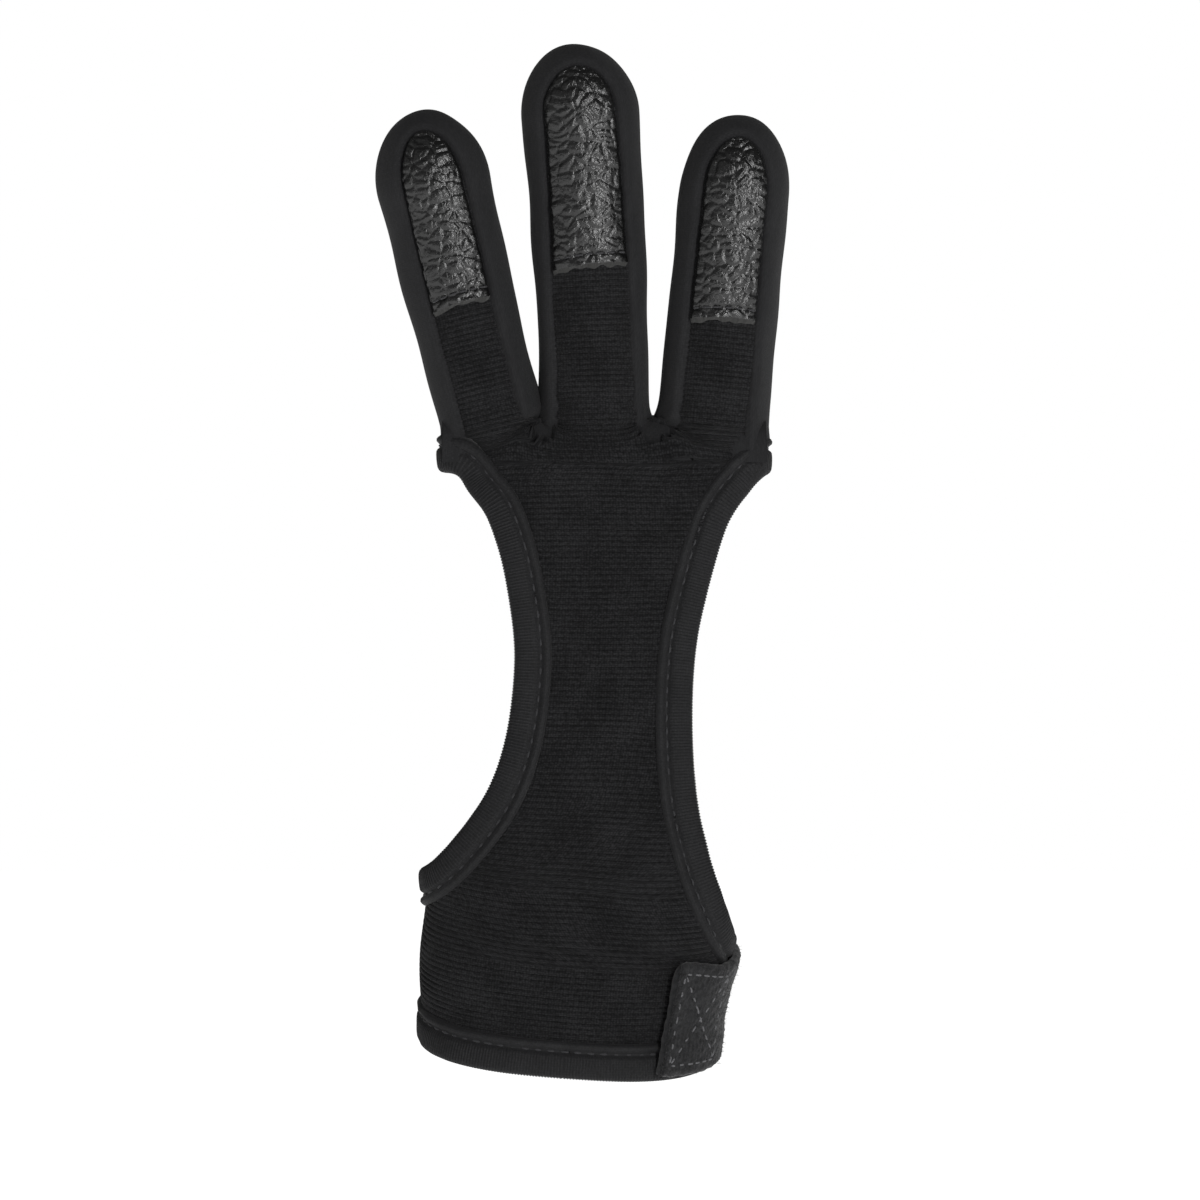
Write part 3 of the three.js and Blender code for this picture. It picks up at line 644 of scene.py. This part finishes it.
def makeStrip(finger):
    count = palmCloth["columns"][finger["name"]]
    straight = finger["length"] - finger["dome"]
    step = palmCloth["ribPitch"] / palmCloth["rowsPerRib"]
    ribs = math.ceil((finger["length"] - finger["padLength"] + 4) / palmCloth["ribPitch"])
    distance = list(palmCloth["stripStart"] + np.arange(ribs * palmCloth["rowsPerRib"] + 1) * step)
    hidden = 5 * math.ceil((straight - distance[-1]) / 5)
    distance += list(np.linspace(distance[-1], straight, hidden + 1)[1:])
    domes = 15
    around = np.concatenate([np.zeros(len(distance)), np.linspace(0, math.radians(80), domes + 1)[1:]])
    distance = np.array(distance + [straight] * domes)
    at = fingerAt(finger, distance)
    half = at["halfWidth"] * at["window"] * np.cos(around)
    extra = finger["dome"] * finger["windowRise"] * np.sin(around)
    share = np.linspace(-1, 1, count + 1)
    side = half[:, None] * share
    spread = np.broadcast_to(distance[:, None], side.shape)
    points = fingerPoint(finger, spread, side, extra[:, None] + 0 * side, stripDrop)
    points = ontoField(points, drop=stripDrop, rounds=4, most=3)
    normal = fieldNormal(points, drop=stripDrop)
    uv = np.stack([side, spread + extra[:, None] + palmForm["palmHeight"]], -1)
    inner = (points - normal * palmCloth["thickness"])[::5, ::3]
    row = np.where(np.arange(len(distance)) <= ribs * palmCloth["rowsPerRib"], np.arange(len(distance)), 2)
    outer = ribbed(points, row[:, None], uv, normal)
    return shell(outer, inner, uv, 5, 3)


palmPanel = dress(makePalmPanel(), "palm_panel")
print("palm cloth made:", len(palmPanel.data.polygons), "faces")


# Back of the glove: smooth cloth that meets the palm cloth at the side seams and over the top

backCloth = {
    "thickness": 1.6,
    "rowStep": 1.0,
    "columns": 90,
    "top": 117.0,
    "overRows": 18,
    "reachForward": -8.5,
    "crotch": 126.6,
    "swell": 0.22,
    "flat": (0.09, 0.13),
    "area": 0.0085,
}


def makeBackPanel():
    rows = 4 * round((backCloth["top"] - palmCloth["foot"]) / backCloth["rowStep"] / 4)
    v = np.linspace(palmCloth["foot"], backCloth["top"], rows + 1)
    share = np.linspace(0, 1, backCloth["columns"] + 1)
    flatV = v[:, None] + 0 * share
    z = flatV.copy()
    for _ in range(6):
        seam = seamDepth(z)
        right = clothEnd("thumb", z, seam, palmCloth["edgeInset"])[1]
        left = clothEnd("little", z, seam, palmCloth["edgeInset"])[1]
        angle = right + (2 * math.pi - left - right) * share
        points = palmPoint(angle, z)
        z = flatV + hemLean(points) * (1 - smoothstep(8, 105, flatV))
    points[..., 2] = z
    points = ontoField(points, rounds=4)
    last = points[-1]
    over = np.linspace(0, 1, backCloth["overRows"] + 1)[1:, None]
    depth = np.where(over < 0.5, last[:, 1], -backCloth["reachForward"]) * np.cos(math.pi * over)
    height = last[:, 2] + (backCloth["crotch"] - last[:, 2]) * np.sin(math.pi * over) ** 0.6
    arc = np.stack([last[:, 0] + 0 * over, depth, height], -1)
    points = np.concatenate([points, arc])
    normal = fieldNormal(points)
    uv = np.stack([arcLength(points, 1), arcLength(points, 0)], -1)
    swell = backCloth["swell"] * ripple(points[..., 0], points[..., 2], 24, 21)
    points = points + normal * swell[..., None]
    inner = (points - normal * backCloth["thickness"])[::2, ::3]
    part = shell(points, inner, uv, 2, 3)
    return addPiece("backPanel", [part], [smoothJersey, liningJersey], sharpAbove=80)


backPanel = dress(makeBackPanel(), "back_panel")
print("back cloth made:", len(backPanel.data.polygons), "faces")


# Finger stalls: padded jersey round the sides, tip and back of each finger, with a rolled edge in front

stallCloth = {
    "foot": -5.0,
    "step": 0.8,
    "columns": 54,
    "roll": 1.9,  # radius of the rolled edge beside the strip and the leather
    "tuck": 1.9,  # how deep that edge goes
    "footProud": 0.35,
    "footRoll": 1.6,
    "dive": 2.4,  # beside a neighbour the front edge goes this far under the palm cloth
    "thickness": 2.0,
    "swell": 0.16,
}


def makeStall(finger):
    straight = finger["length"] - finger["dome"]
    rise = round((straight - stallCloth["foot"]) / stallCloth["step"])
    up = np.linspace(stallCloth["foot"], straight, rise + 1)
    turns = round(math.pi * finger["dome"] / stallCloth["step"])
    turn = np.linspace(0, math.pi, turns + 1)
    distance = np.concatenate([up, np.full(turns - 1, straight), up[::-1]])[:, None]
    around = np.concatenate([np.zeros(rise + 1), turn[1:-1], np.full(rise + 1, math.pi)])[:, None]
    at = fingerAt(finger, distance)
    window = 1 / np.hypot(np.cos(around) / at["window"], np.sin(around) / finger["windowRise"])
    first = np.arcsin(window)
    share = np.linspace(0, 1, stallCloth["columns"] + 1)
    share = 0.45 * share + 0.55 * share**2.2
    angle = first + (math.pi - first) * share
    side = -at["halfWidth"] * np.sin(angle) * np.cos(around)
    extra = finger["dome"] * np.sin(angle) * np.sin(around)
    out = -at["halfDepth"] * np.cos(angle)
    x = at["x"] + at["aheadZ"] * side + at["aheadX"] * extra
    z = at["z"] - at["aheadX"] * side + at["aheadZ"] * extra
    y = at["y"] + out
    points = np.stack([x, y, z], -1)
    own = lambda p: fingerField(finger, p)
    normal = np.stack([own(points + a) - own(points - a) for a in np.eye(3) * 0.15], -1)
    normal /= np.maximum(np.linalg.norm(normal, axis=-1, keepdims=True), 1e-9)
    sunk = np.clip(-gloveField(points), 0, 9)
    push = sunk * (1 - smoothstep(3, 4.5, sunk))
    uv = np.stack([arcLength(points, 1), arcLength(points, 0)], -1)
    edge = uv[..., 0]
    roll = np.clip(1 - edge / stallCloth["roll"], 0, 1)
    tucked = -stallCloth["tuck"] * (1 - np.sqrt(1 - roll**2))
    swell = stallCloth["swell"] * ripple(uv[..., 0] + points[..., 0], points[..., 2], 15, 31)
    footFade = 1 - smoothstep(-3.5, 6, distance)
    foot = np.clip((-3.4 - distance) / 1.6, 0, 1)
    footRoll = -stallCloth["footRoll"] * (1 - np.sqrt(1 - foot**2)) + stallCloth["footProud"] * footFade
    beside = np.where(np.cos(around) > 0, finger["name"] != "ring", finger["name"] != "index")
    dive = beside * (1 - smoothstep(-1.2, 1.4, distance)) * smoothstep(-0.1, 0.35, np.cos(angle))
    dive = -stallCloth["dive"] * dive
    outward = fieldNormal(points)
    way = normal * (1 - footFade[..., None]) + outward * footFade[..., None]
    outer = points + way * (push + swell + footRoll + dive)[..., None] + normal * tucked[..., None]
    inner = (outer - way * stallCloth["thickness"])[::4, ::3]
    lining = {
        "points": inner.reshape(-1, 3),
        "faces": [gridFaces(*inner.shape[:2])],
        "uv": uv[::4, ::3].reshape(-1, 2),
        "materials": [1],
    }
    skin = {"points": outer.reshape(-1, 3), "faces": [gridFaces(*outer.shape[:2], flip=True)],
            "uv": uv.reshape(-1, 2)}
    return addPiece(finger["name"] + "Stall", [skin, lining], [smoothJersey, liningJersey], weld=0.002)


for finger in fingerForm:
    stall = dress(makeStall(finger), finger["name"] + "_stall")
print("stalls made")


# Leather pads: pebbled cowhide on the fingertips, cut raw along the lower edge

padLeather = {
    "grain": 2.1,  # width of one pebble
    "creaseDepth": 0.25,
    "step": 0.24,
    "proud": 0.15,  # the grain side above the stall
    "under": -1.1,
    "edgeInset": 0.35,
    "fineCrease": 0.08,
    "swell": 0.06,
    "stitchSink": 0.25,
    "edgeSink": 0.5,
    "stitchAbove": 2.0,
    "stitchPitch": 2.3,
    "cutEdge": 0.75,  # the raw edge slopes out this far below the grain side
}


def padGrid(finger, step):
    # rows follow the lower edge at the bottom and the dome at the top
    straight = finger["length"] - finger["dome"]
    low = finger["length"] - finger["padLength"]
    at = fingerAt(finger, np.array(low))
    tilt = -math.atan2(float(at["aheadX"]), float(at["aheadZ"]))
    slope = math.tan(math.radians(finger["padSkew"]) - tilt)
    rise = round((straight - low) / step)
    turns = round(finger["dome"] * finger["windowRise"] * 1.2 / step)
    columns = 3 * round(finger["tipWidth"] * finger["windowTip"] * 1.15 / step / 3)
    share = np.linspace(-1, 1, columns + 1)
    up = np.linspace(0, 1, rise + 1)
    turn = np.linspace(0, math.pi / 2 * 0.985, turns + 1)[1:]
    distance = np.concatenate([low + (straight - low) * up, np.full(turns, straight)])[:, None] + 0 * share
    around = np.concatenate([np.zeros(rise + 1), turn])[:, None]
    fade = np.concatenate([1 - up, np.zeros(turns)])[:, None]
    here = fingerAt(finger, distance)
    half = here["halfWidth"] * here["window"] - padLeather["edgeInset"]
    side = half * share * np.cos(around)
    distance = distance + side * slope * fade + 0.5 * fade * (1 - share**2)
    extra = (finger["dome"] * finger["windowRise"] - padLeather["edgeInset"]) * np.sin(around) + 0 * side
    points = fingerPoint(finger, distance, side, extra, -padLeather["proud"])
    return points, np.stack([side, distance + extra], -1)


def makePad(finger, seed):
    points, uv = padGrid(finger, padLeather["step"])
    normal = fieldNormal(points)
    x = uv[..., 0] + 0.5 * ripple(uv[..., 0], uv[..., 1], 5, seed + 1)
    y = uv[..., 1] + 0.5 * ripple(uv[..., 0], uv[..., 1], 6, seed + 2)
    wide = pebbles(x / 1.2, y, padLeather["grain"], seed)
    fine = pebbles(x, y, padLeather["grain"] * 0.45, seed + 3)
    height = -padLeather["creaseDepth"] * (1 - np.clip(wide / 0.7, 0, 1)) ** 2
    height = height - padLeather["fineCrease"] * (1 - np.clip(fine / 0.4, 0, 1)) ** 2
    height = height + padLeather["swell"] * ripple(x, y, 7, seed + 5)
    bottom = uv[..., 1] - uv[0:1, :, 1]
    groove = np.exp(-((bottom - padLeather["stitchAbove"]) / 0.5) ** 2)
    height = height - padLeather["stitchSink"] * groove
    share = np.abs(np.linspace(-1, 1, points.shape[1]))[None]
    height = height - padLeather["edgeSink"] * smoothstep(0.86, 1, share) ** 2
    outer = points + normal * height[..., None]
    inner = points - normal * (padLeather["proud"] - padLeather["under"])
    ragged = ripple(uv[0, :, 0], 0 * uv[0, :, 0], 3, seed + 7)
    inner[0, :, 2] -= padLeather["cutEdge"] * (1 + 0.35 * ragged)
    part = shell(outer, inner, uv, 1, 1)
    return addPiece(finger["name"] + "LeatherPad", [part], [pebbledLeather, cutLeather], sharpAbove=55)


for seed, finger in enumerate(fingerForm):
    dress(makePad(finger, 40 + seed * 10), finger["name"] + "_leather_pad")
print("leather pads made")


# Bindings: a folded grosgrain tape round each opening and round the wrist

binding = {
    "tapeWidth": 0.0185,  # before folding, in metres
    "ribPitch": 0.6,
    "ribHeight": 0.28,
    "rowsPerRib": 3,
    "stitchPitch": 2.6,
    "stitchAt": 5.3,  # from the free edge
    "stitchProud": 0.34,
    # the tape's section, from the end of the ridge round the fold to the inner leg: into the cloth, outward
    "section": [
        (7.4, -1.3), (7.4, 0.1), (7.1, 0.6), (6.7, 0.92), (6.2, 0.9), (5.85, 0.6), (5.55, 0.3), (5.2, 0.24),
        (4.9, 0.42), (4.65, 0.78), (4.3, 0.98), (3.6, 1.08), (2.7, 1.12), (1.8, 1.1), (1.0, 1.0),
        (0.45, 0.74), (0.1, 0.3), (-0.05, -0.3), (-0.05, -1.1), (0.1, -1.8), (0.45, -2.35),
        (1.1, -2.65), (2.2, -2.7), (3.6, -2.7), (4.8, -2.6), (5.2, -2.2), (4.9, -1.8), (1.5, -1.7),
        (1.2, -0.8), (1.6, -0.5),
    ],
}


def smoothLoop(points, width):
    # evenly spaced points on a closed line, with its corners softened over width
    closed = np.concatenate([points, points[:1]])
    length = np.concatenate([[0], np.cumsum(np.linalg.norm(np.diff(closed, axis=0), axis=-1))])
    count = 4 * round(length[-1] / 0.5 / 4)
    at = np.linspace(0, length[-1], count, endpoint=False)
    even = np.stack([np.interp(at, length, closed[:, k]) for k in range(3)], -1)
    reach = np.fft.fftfreq(count, d=length[-1] / count)
    soften = np.exp(-2 * (math.pi * reach * width) ** 2)
    return np.real(np.fft.ifft(np.fft.fft(even, axis=0) * soften[:, None], axis=0)), length[-1]


def openingLoop(side):
    x, z = openingCurve(side, 0, 2400)
    centre, halfWidth, front, back = palmAt(z)
    reach = np.abs(x - centre) / halfWidth
    keep = reach <= 1
    rise = np.clip(1 - reach[keep] ** palmForm["squareness"], 0, 1) ** (1 / palmForm["squareness"])
    ahead = np.stack([x[keep], -front[keep] * rise, z[keep]], -1)
    behind = np.stack([x[keep], back[keep] * rise, z[keep]], -1)
    return np.concatenate([ahead, behind[::-1]])


def hemLoop():
    angle = np.linspace(0, 2 * math.pi, 1200, endpoint=False)
    points = palmPoint(angle, 0 * angle)
    for _ in range(8):
        points = palmPoint(angle, hemLean(points))
    return points


def followLoop(loop, rowsPerLength, width, inwards):
    # points evenly along the loop with the outward, the along and the into-the-cloth directions
    even, length = smoothLoop(loop, width)
    even = ontoField(even, rounds=3)
    even, length = smoothLoop(even, 0.6)
    count = round(length * rowsPerLength)
    at = np.arange(count) / count * len(even)
    closed = np.concatenate([even, even[:1]])
    points = np.stack([np.interp(at, np.arange(len(closed)), closed[:, k]) for k in range(3)], -1)
    normal = fieldNormal(points, step=0.8)
    along = np.roll(points, -3, 0) - np.roll(points, 3, 0)
    along /= np.linalg.norm(along, axis=-1, keepdims=True)
    into = np.cross(normal, along)
    into /= np.linalg.norm(into, axis=-1, keepdims=True)
    if np.sum(into * inwards(points)) < 0:
        return followLoop(loop[::-1], rowsPerLength, width, inwards)
    return points, normal, along, into, length


def awayFrom(x, z):
    # points away from the middle of an opening, as seen from the front
    return lambda p: np.stack([p[..., 0] - x, 0 * p[..., 0], p[..., 2] - z], -1)


def upwards(p):
    return np.broadcast_to(np.array([0, 0, 1.0]), p.shape)


def foldTape(name, loop, inwards):
    pitch = binding["ribPitch"]
    rows = binding["rowsPerRib"]
    points, normal, along, into, length = followLoop(loop, rows / pitch, 1.2, inwards)
    points = points[:len(points) // rows * rows]
    normal, along, into = (a[:len(points)] for a in (normal, along, into))
    section = np.array(binding["section"])
    across = section[:, 0]
    height = section[:, 1]
    flat = points[:, None] + into[:, None] * across[None, :, None]
    outside = height > -1.4
    outside[across < 0.2] = False
    held = np.where(outside, across, 0)
    base = points[:, None] + into[:, None] * held[None, :, None]
    way = np.repeat(normal[:, None], len(section), 1)
    onCloth = ontoField(base, way, rounds=3, most=5)
    flat = flat + (onCloth - base)
    outward = fieldNormal(flat, step=0.6)
    outward = np.where(outside[None, :, None], outward, way)
    phase = (np.arange(len(points)) % rows > 0).astype(float)[:, None]
    ribs = np.interp(across, [4.3, 4.9, 5.8, 6.4, 7.2], [1, 0, 0, 0.35, 0])
    ribs = np.where(height < -2.2, 0.7, ribs) * binding["ribHeight"]
    where = np.arange(len(points))[:, None] * pitch / rows
    waver = 0.12 * ripple(where, 0 * where, 11, 61) + 0.06 * ripple(where, 0 * where, 4, 62)
    lift = height + np.where(height > 0.1, waver, 0)
    away = np.sign(np.where(np.abs(height) < 0.05, 1, height))
    spots = flat + outward * (lift + (phase - 0.7) * ribs * away)[..., None]
    sideways = np.interp(across, [-0.1, 0.5], [1, 0]) * binding["ribHeight"]
    spots = spots - into[:, None] * ((phase - 0.7) * sideways)[..., None]
    width = np.cumsum(np.hypot(*np.diff(section, axis=0, prepend=section[:1]).T))
    uv = np.stack([where + 0 * width, width + 0 * where], -1)
    part = {
        "points": spots.reshape(-1, 3),
        "faces": [gridFaces(*spots.shape[:2], loop=True, ring=True)],
        "uv": uv.reshape(-1, 2),
    }
    seam = points + into * binding["stitchAt"]
    seam = ontoField(seam, normal, rounds=3)
    seam = seam + normal * binding["stitchProud"]
    return addPiece(name, [part], [ribbedTape]), seam, normal, along, length


# Stitches: short threads lying in their seams

stitch = {"length": 1.75, "width": 0.42, "height": 0.3, "sink": 0.28, "sides": 6, "rings": 7}


def threads(spots, outward, along):
    # one small rounded thread at each spot, pressed down at both ends
    turn = np.linspace(0, 2 * math.pi, stitch["sides"], endpoint=False)
    run = np.linspace(-1, 1, stitch["rings"])
    thick = np.sqrt(np.clip(1 - np.abs(run) ** 3, 0.02, 1))
    sink = -stitch["sink"] * np.abs(run) ** 3
    across = np.cross(outward, along)
    jitter = 1 + 0.12 * random.standard_normal((len(spots), 1, 1))
    a = run[None, :, None] * stitch["length"] / 2 * jitter
    b = thick[None, :, None] * np.cos(turn) * stitch["width"] / 2
    c = thick[None, :, None] * np.sin(turn) * stitch["height"] / 2 + sink[None, :, None]
    shape = np.broadcast_shapes(a.shape, b.shape)
    a, b, c = (np.broadcast_to(m, shape)[..., None] for m in (a, b, c))
    way = lambda d: d[:, None, None, :]
    points = spots[:, None, None] + way(along) * a + way(across) * b + way(outward) * c
    one = stitch["rings"] * stitch["sides"]
    faces = np.concatenate([gridFaces(stitch["rings"], stitch["sides"], start=i * one, ring=True)
                            for i in range(len(spots))])
    uv = np.broadcast_to(np.stack([a, b + c], -1)[..., 0, :], points.shape[:-1] + (2,))
    return {"points": points.reshape(-1, 3), "faces": [faces], "uv": uv.reshape(-1, 2)}


def spaced(points, length, pitch):
    count = round(length / pitch)
    return (np.arange(count) / count * len(points)).astype(int)


seams = []
for name, node, loop, inwards in (
        ("littleFingerSideBinding", "little_finger_side_binding", openingLoop("little"), awayFrom(-36, 74)),
        ("thumbSideBinding", "thumb_side_binding", openingLoop("thumb"), awayFrom(50, 68)),
        ("wristHemBinding", "wrist_hem_binding", hemLoop(), upwards)):
    tape, seam, out, along, length = foldTape(name, loop, inwards)
    dress(tape, node)
    pick = spaced(seam, length, binding["stitchPitch"])
    seams.append(threads(seam[pick], out[pick], along[pick]))


# Wrist strap: loop tape lapped round the right side, with a cut end on the palm side

strap = {
    "length": 74.0,
    "height": 21.7,
    "rise": 0.8,
    "thickness": 2.1,
    "gap": 0.35,
    "endX": 19.0,
    "endLean": 0.2,
    "tailX": -6.0,
    "cornerTop": 2.6,
    "cornerBottom": 1.4,
    "lift": 1.0,  # how far the cut end stands off
    "step": 0.4,
    "stitchInset": 2.2,
    "stitchBox": 17.0,  # the sewn box is this long
    "stitchPitch": 2.4,
    "fibres": 3600,
    "fibreWidth": 0.045,
    "fibreRise": 0.35,
    "fibreSpread": 0.45,
    "flat": (0.074, 0.0217),
}


def strapPoint(run, up):
    # run: 0 at the cut end to 1 at the tail; up: millimetres above the strap's lower edge
    bow = 1.5 - 2 * smoothstep(0, 0.24, run) + 0.5 * smoothstep(0.3, 0.6, run)
    v = strap["rise"] + up + bow * np.clip(up / strap["height"], 0, 1)
    z = v
    for _ in range(6):
        centre, halfWidth, front, back = palmAt(z)
        endX = strap["endX"] + (up - strap["height"] / 2) * strap["endLean"]
        power = palmForm["squareness"] / 2
        first = np.arcsin(np.clip((endX - centre) / halfWidth, 0, 0.999) ** power)
        last = math.pi + np.arcsin(np.clip((centre - strap["tailX"]) / halfWidth, 0, 0.999) ** power)
        angle = first + (last - first) * run
        p = palmPoint(angle, z)
        z = v + hemLean(p)
    return p


def strapSurface(run, up, proud):
    p = strapPoint(run, up)
    normal = fieldNormal(p)
    # it rides over the hem binding below and the side binding above
    over = 1 - smoothstep(5.5, 9, strap["rise"] + up)
    over = over + 0.7 * smoothstep(15, 19, up) * smoothstep(0.1, 0.2, run)
    lift = strap["lift"] * (1 - smoothstep(0, 0.09, run)) ** 1.5
    return p + normal * (proud + 0.45 * over + lift)[..., None], normal


def makeStrap():
    length = strap["length"]
    columns = 2 * round(length / strap["step"] / 2)
    rows = 2 * round(strap["height"] / strap["step"] / 2)
    up = np.linspace(0, strap["height"], rows + 1)[:, None]
    share = np.linspace(0, 1, columns + 1)[None]
    top = np.clip(strap["cornerTop"] - (strap["height"] - up), 0, None)
    bottom = np.clip(strap["cornerBottom"] - up, 0, None)
    cut = strap["cornerTop"] - np.sqrt(strap["cornerTop"] ** 2 - top**2)
    cut = cut + strap["cornerBottom"] - np.sqrt(strap["cornerBottom"] ** 2 - bottom**2)
    cut = cut + 0.12 * ripple(up, 0 * up, 2.5, 71)
    start = cut / length
    run = start + (1 - start) * share
    wave = 0.1 * ripple(run * length, 0 * run, 3, 72)
    height = up + wave * (np.abs(up / strap["height"] - 0.5) * 2) ** 8
    outer, normal = strapSurface(run, height, strap["gap"] + strap["thickness"])
    edge = np.minimum(np.minimum(up, strap["height"] - up), share * length)
    rounded = -0.7 * np.clip(1 - edge / 1.0, 0, 1) ** 2
    pile = 0.1 * ripple(run * length, up, 1.3, 73) + 0.07 * ripple(run * length, up, 0.8, 74)
    outer = outer + normal * (rounded + pile)[..., None]
    inner = outer - normal * (strap["thickness"] - 0.5 + rounded + pile)[..., None]
    uv = np.stack([run * length + 0 * up, up + 0 * run], -1)
    part = shell(outer, inner[::2, ::2], uv, 2, 2)
    return addPiece("wristStrap", [part], [hookFelt], sharpAbove=80)


def strapFuzz():
    # loose fibres standing off the loop tape, most of them at its cut end
    spots = random.random((strap["fibres"], 2))
    spots[:, 0] = spots[:, 0] ** 1.6
    edges = random.random(strap["fibres"]) < 0.45
    spots[:, 0] = np.where(edges & (random.random(strap["fibres"]) < 0.5), 0.004, spots[:, 0])
    root, out = strapSurface(spots[:, 0] * 0.99 + 0.005, spots[:, 1] * strap["height"],
                             strap["gap"] + strap["thickness"] - 0.1)
    lean = random.standard_normal((strap["fibres"], 3))
    tip = root + out * strap["fibreRise"] + lean * strap["fibreSpread"]
    wide = np.cross(out, lean)
    wide *= strap["fibreWidth"] / np.maximum(np.linalg.norm(wide, axis=-1, keepdims=True), 1e-9)
    hairs = np.stack([root - wide, root + wide, tip], 1).reshape(-1, 3)
    faces = np.arange(len(hairs)).reshape(-1, 3)
    part = {"points": hairs, "faces": [faces], "uv": np.repeat(spots * 20, 3, 0)}
    fuzz = addPiece("strapFuzz", [part], [hookFelt])
    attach(fuzz, "root")


def strapSeams():
    # box with a cross, sewn through the cut end, and one row at the tail
    inset = strap["stitchInset"]
    high = strap["height"] - inset
    size = strap["length"]
    left = inset / size
    right = strap["stitchBox"] / size
    tail = 1 - inset / size
    lines = [
        ((tail, inset), (tail, high)), ((left, inset), (left, high)), ((left, high), (right, high)),
        ((right, high), (right, inset)), ((right, inset), (left, inset)), ((left, inset), (right, high)),
        ((left, high), (right, inset)),
    ]
    proud = strap["gap"] + strap["thickness"]
    spots = []
    ahead = []
    for (a, b), (c, d) in lines:
        length = math.hypot((c - a) * size, d - b)
        count = round(length / strap["stitchPitch"])
        t = (np.arange(count) + 0.5) / count
        later = t + 0.01
        here = strapSurface(a + (c - a) * t, b + (d - b) * t, proud)[0]
        onward = strapSurface(a + (c - a) * later, b + (d - b) * later, proud)[0]
        spots.append(here)
        ahead.append((onward - here) / np.linalg.norm(onward - here, axis=-1, keepdims=True))
    spots = np.concatenate(spots)
    return threads(spots, fieldNormal(spots), np.concatenate(ahead))


wristStrap = dress(makeStrap(), "wrist_strap")
strapFuzz()
strapSewing = addPiece("strapSewing", [strapSeams()], [strapThread])
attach(strapSewing, "root")
print("strap made:", len(wristStrap.data.polygons), "faces")


# Stitches along the pads

for finger in fingerForm:
    points, uv = padGrid(finger, 0.5)
    row = points[round(padLeather["stitchAbove"] / 0.5)]
    length = np.linalg.norm(np.diff(row, axis=0), axis=-1).sum()
    pick = np.linspace(3, len(row) - 4, round(length / padLeather["stitchPitch"])).astype(int)
    ahead = np.gradient(row, axis=0)
    ahead /= np.linalg.norm(ahead, axis=-1, keepdims=True)
    out = fieldNormal(row[pick])
    seams.append(threads(row[pick] + out * 0.02, out, ahead[pick]))

sewing = addPiece("sewing", seams, [sewingThread])
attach(sewing, "root")
print("stitches made:", len(sewing.data.polygons), "faces")


# White studio: a pale floor, a tall, narrow key light from the right and a soft fill from the left

studio = {
    "floor": -0.11,
    "floorSize": 8.0,
    "keyPower": 8.0,
    "keySize": (0.1, 0.8),
    "keyPlace": (0.47, -1.08, 0.3),
    "fillPower": 0.75,
    "fillSize": (0.9, 0.9),
    "fillPlace": (-0.7, -0.9, 0.7),
    "aim": (0.007, 0, 0.1),  # middle of the glove
    "surround": 0.1,  # strength of the white world as a light
}


def paperMaterial():
    # white studio paper: matt, lit past white as in a cut-out product picture
    material, tree, output = newMaterial("white studio paper")
    surface = addNode(tree, "ShaderNodeBsdfPrincipled",
                      {"Base Color": (0.95, 0.95, 0.95, 1), "Roughness": 1.0, "Specular IOR Level": 0.0,
                       "Emission Color": (1, 1, 1, 1), "Emission Strength": 1.0})
    tree.links.new(surface.outputs["BSDF"], output.inputs["Surface"])
    return material


def makeFloor():
    half = studio["floorSize"] / 2
    points = np.array([(x, y, studio["floor"]) for y in (-half, half) for x in (-half, half)]) / metre
    part = {"points": points, "faces": [gridFaces(2, 2)], "uv": points[:, :2]}
    return addPiece("studioFloor", [part], [paperMaterial()])


def lightWorld():
    # plain white to look at, dim as a light, so that the soft boxes shape the black cloth
    world = bpy.data.worlds.new("studioWhite")
    bpy.context.scene.world = world
    world.use_nodes = True
    tree = world.node_tree
    tree.nodes.clear()
    path = addNode(tree, "ShaderNodeLightPath")
    strength = addNode(tree, "ShaderNodeMapRange", {"To Min": studio["surround"], "To Max": 1.0},
                       {"Value": path.outputs["Is Camera Ray"]})
    white = addNode(tree, "ShaderNodeBackground", {"Color": (1, 1, 1, 1)},
                    {"Strength": strength.outputs["Result"]})
    addNode(tree, "ShaderNodeOutputWorld", links={"Surface": white.outputs["Background"]})


def addSoftbox(name, place, size, power):
    light = bpy.data.lights.new(name, "AREA")
    light.shape = "RECTANGLE"
    light.size = size[0]
    light.size_y = size[1]
    light.energy = power
    box = bpy.data.objects.new(name, light)
    box.location = place
    aim = Vector(studio["aim"]) - box.location
    box.rotation_euler = aim.to_track_quat("-Z", "Y").to_euler()
    bpy.context.scene.collection.objects.link(box)


makeFloor()
lightWorld()
addSoftbox("keySoftbox", studio["keyPlace"], studio["keySize"], studio["keyPower"])
addSoftbox("fillSoftbox", studio["fillPlace"], studio["fillSize"], studio["fillPower"])
bpy.context.scene.view_settings.view_transform = "Standard"

lens = {"place": (0.0068, -1.5, 0.0896), "length": 225.0, "sensor": 36.0}
camera = bpy.data.cameras.new("productCamera")
camera.lens = lens["length"]
camera.sensor_width = lens["sensor"]
cameraObject = bpy.data.objects.new("productCamera", camera)
cameraObject.location = lens["place"]
cameraObject.rotation_euler = (math.pi / 2, 0, 0)
bpy.context.scene.collection.objects.link(cameraObject)
bpy.context.scene.camera = cameraObject
print("studio set")
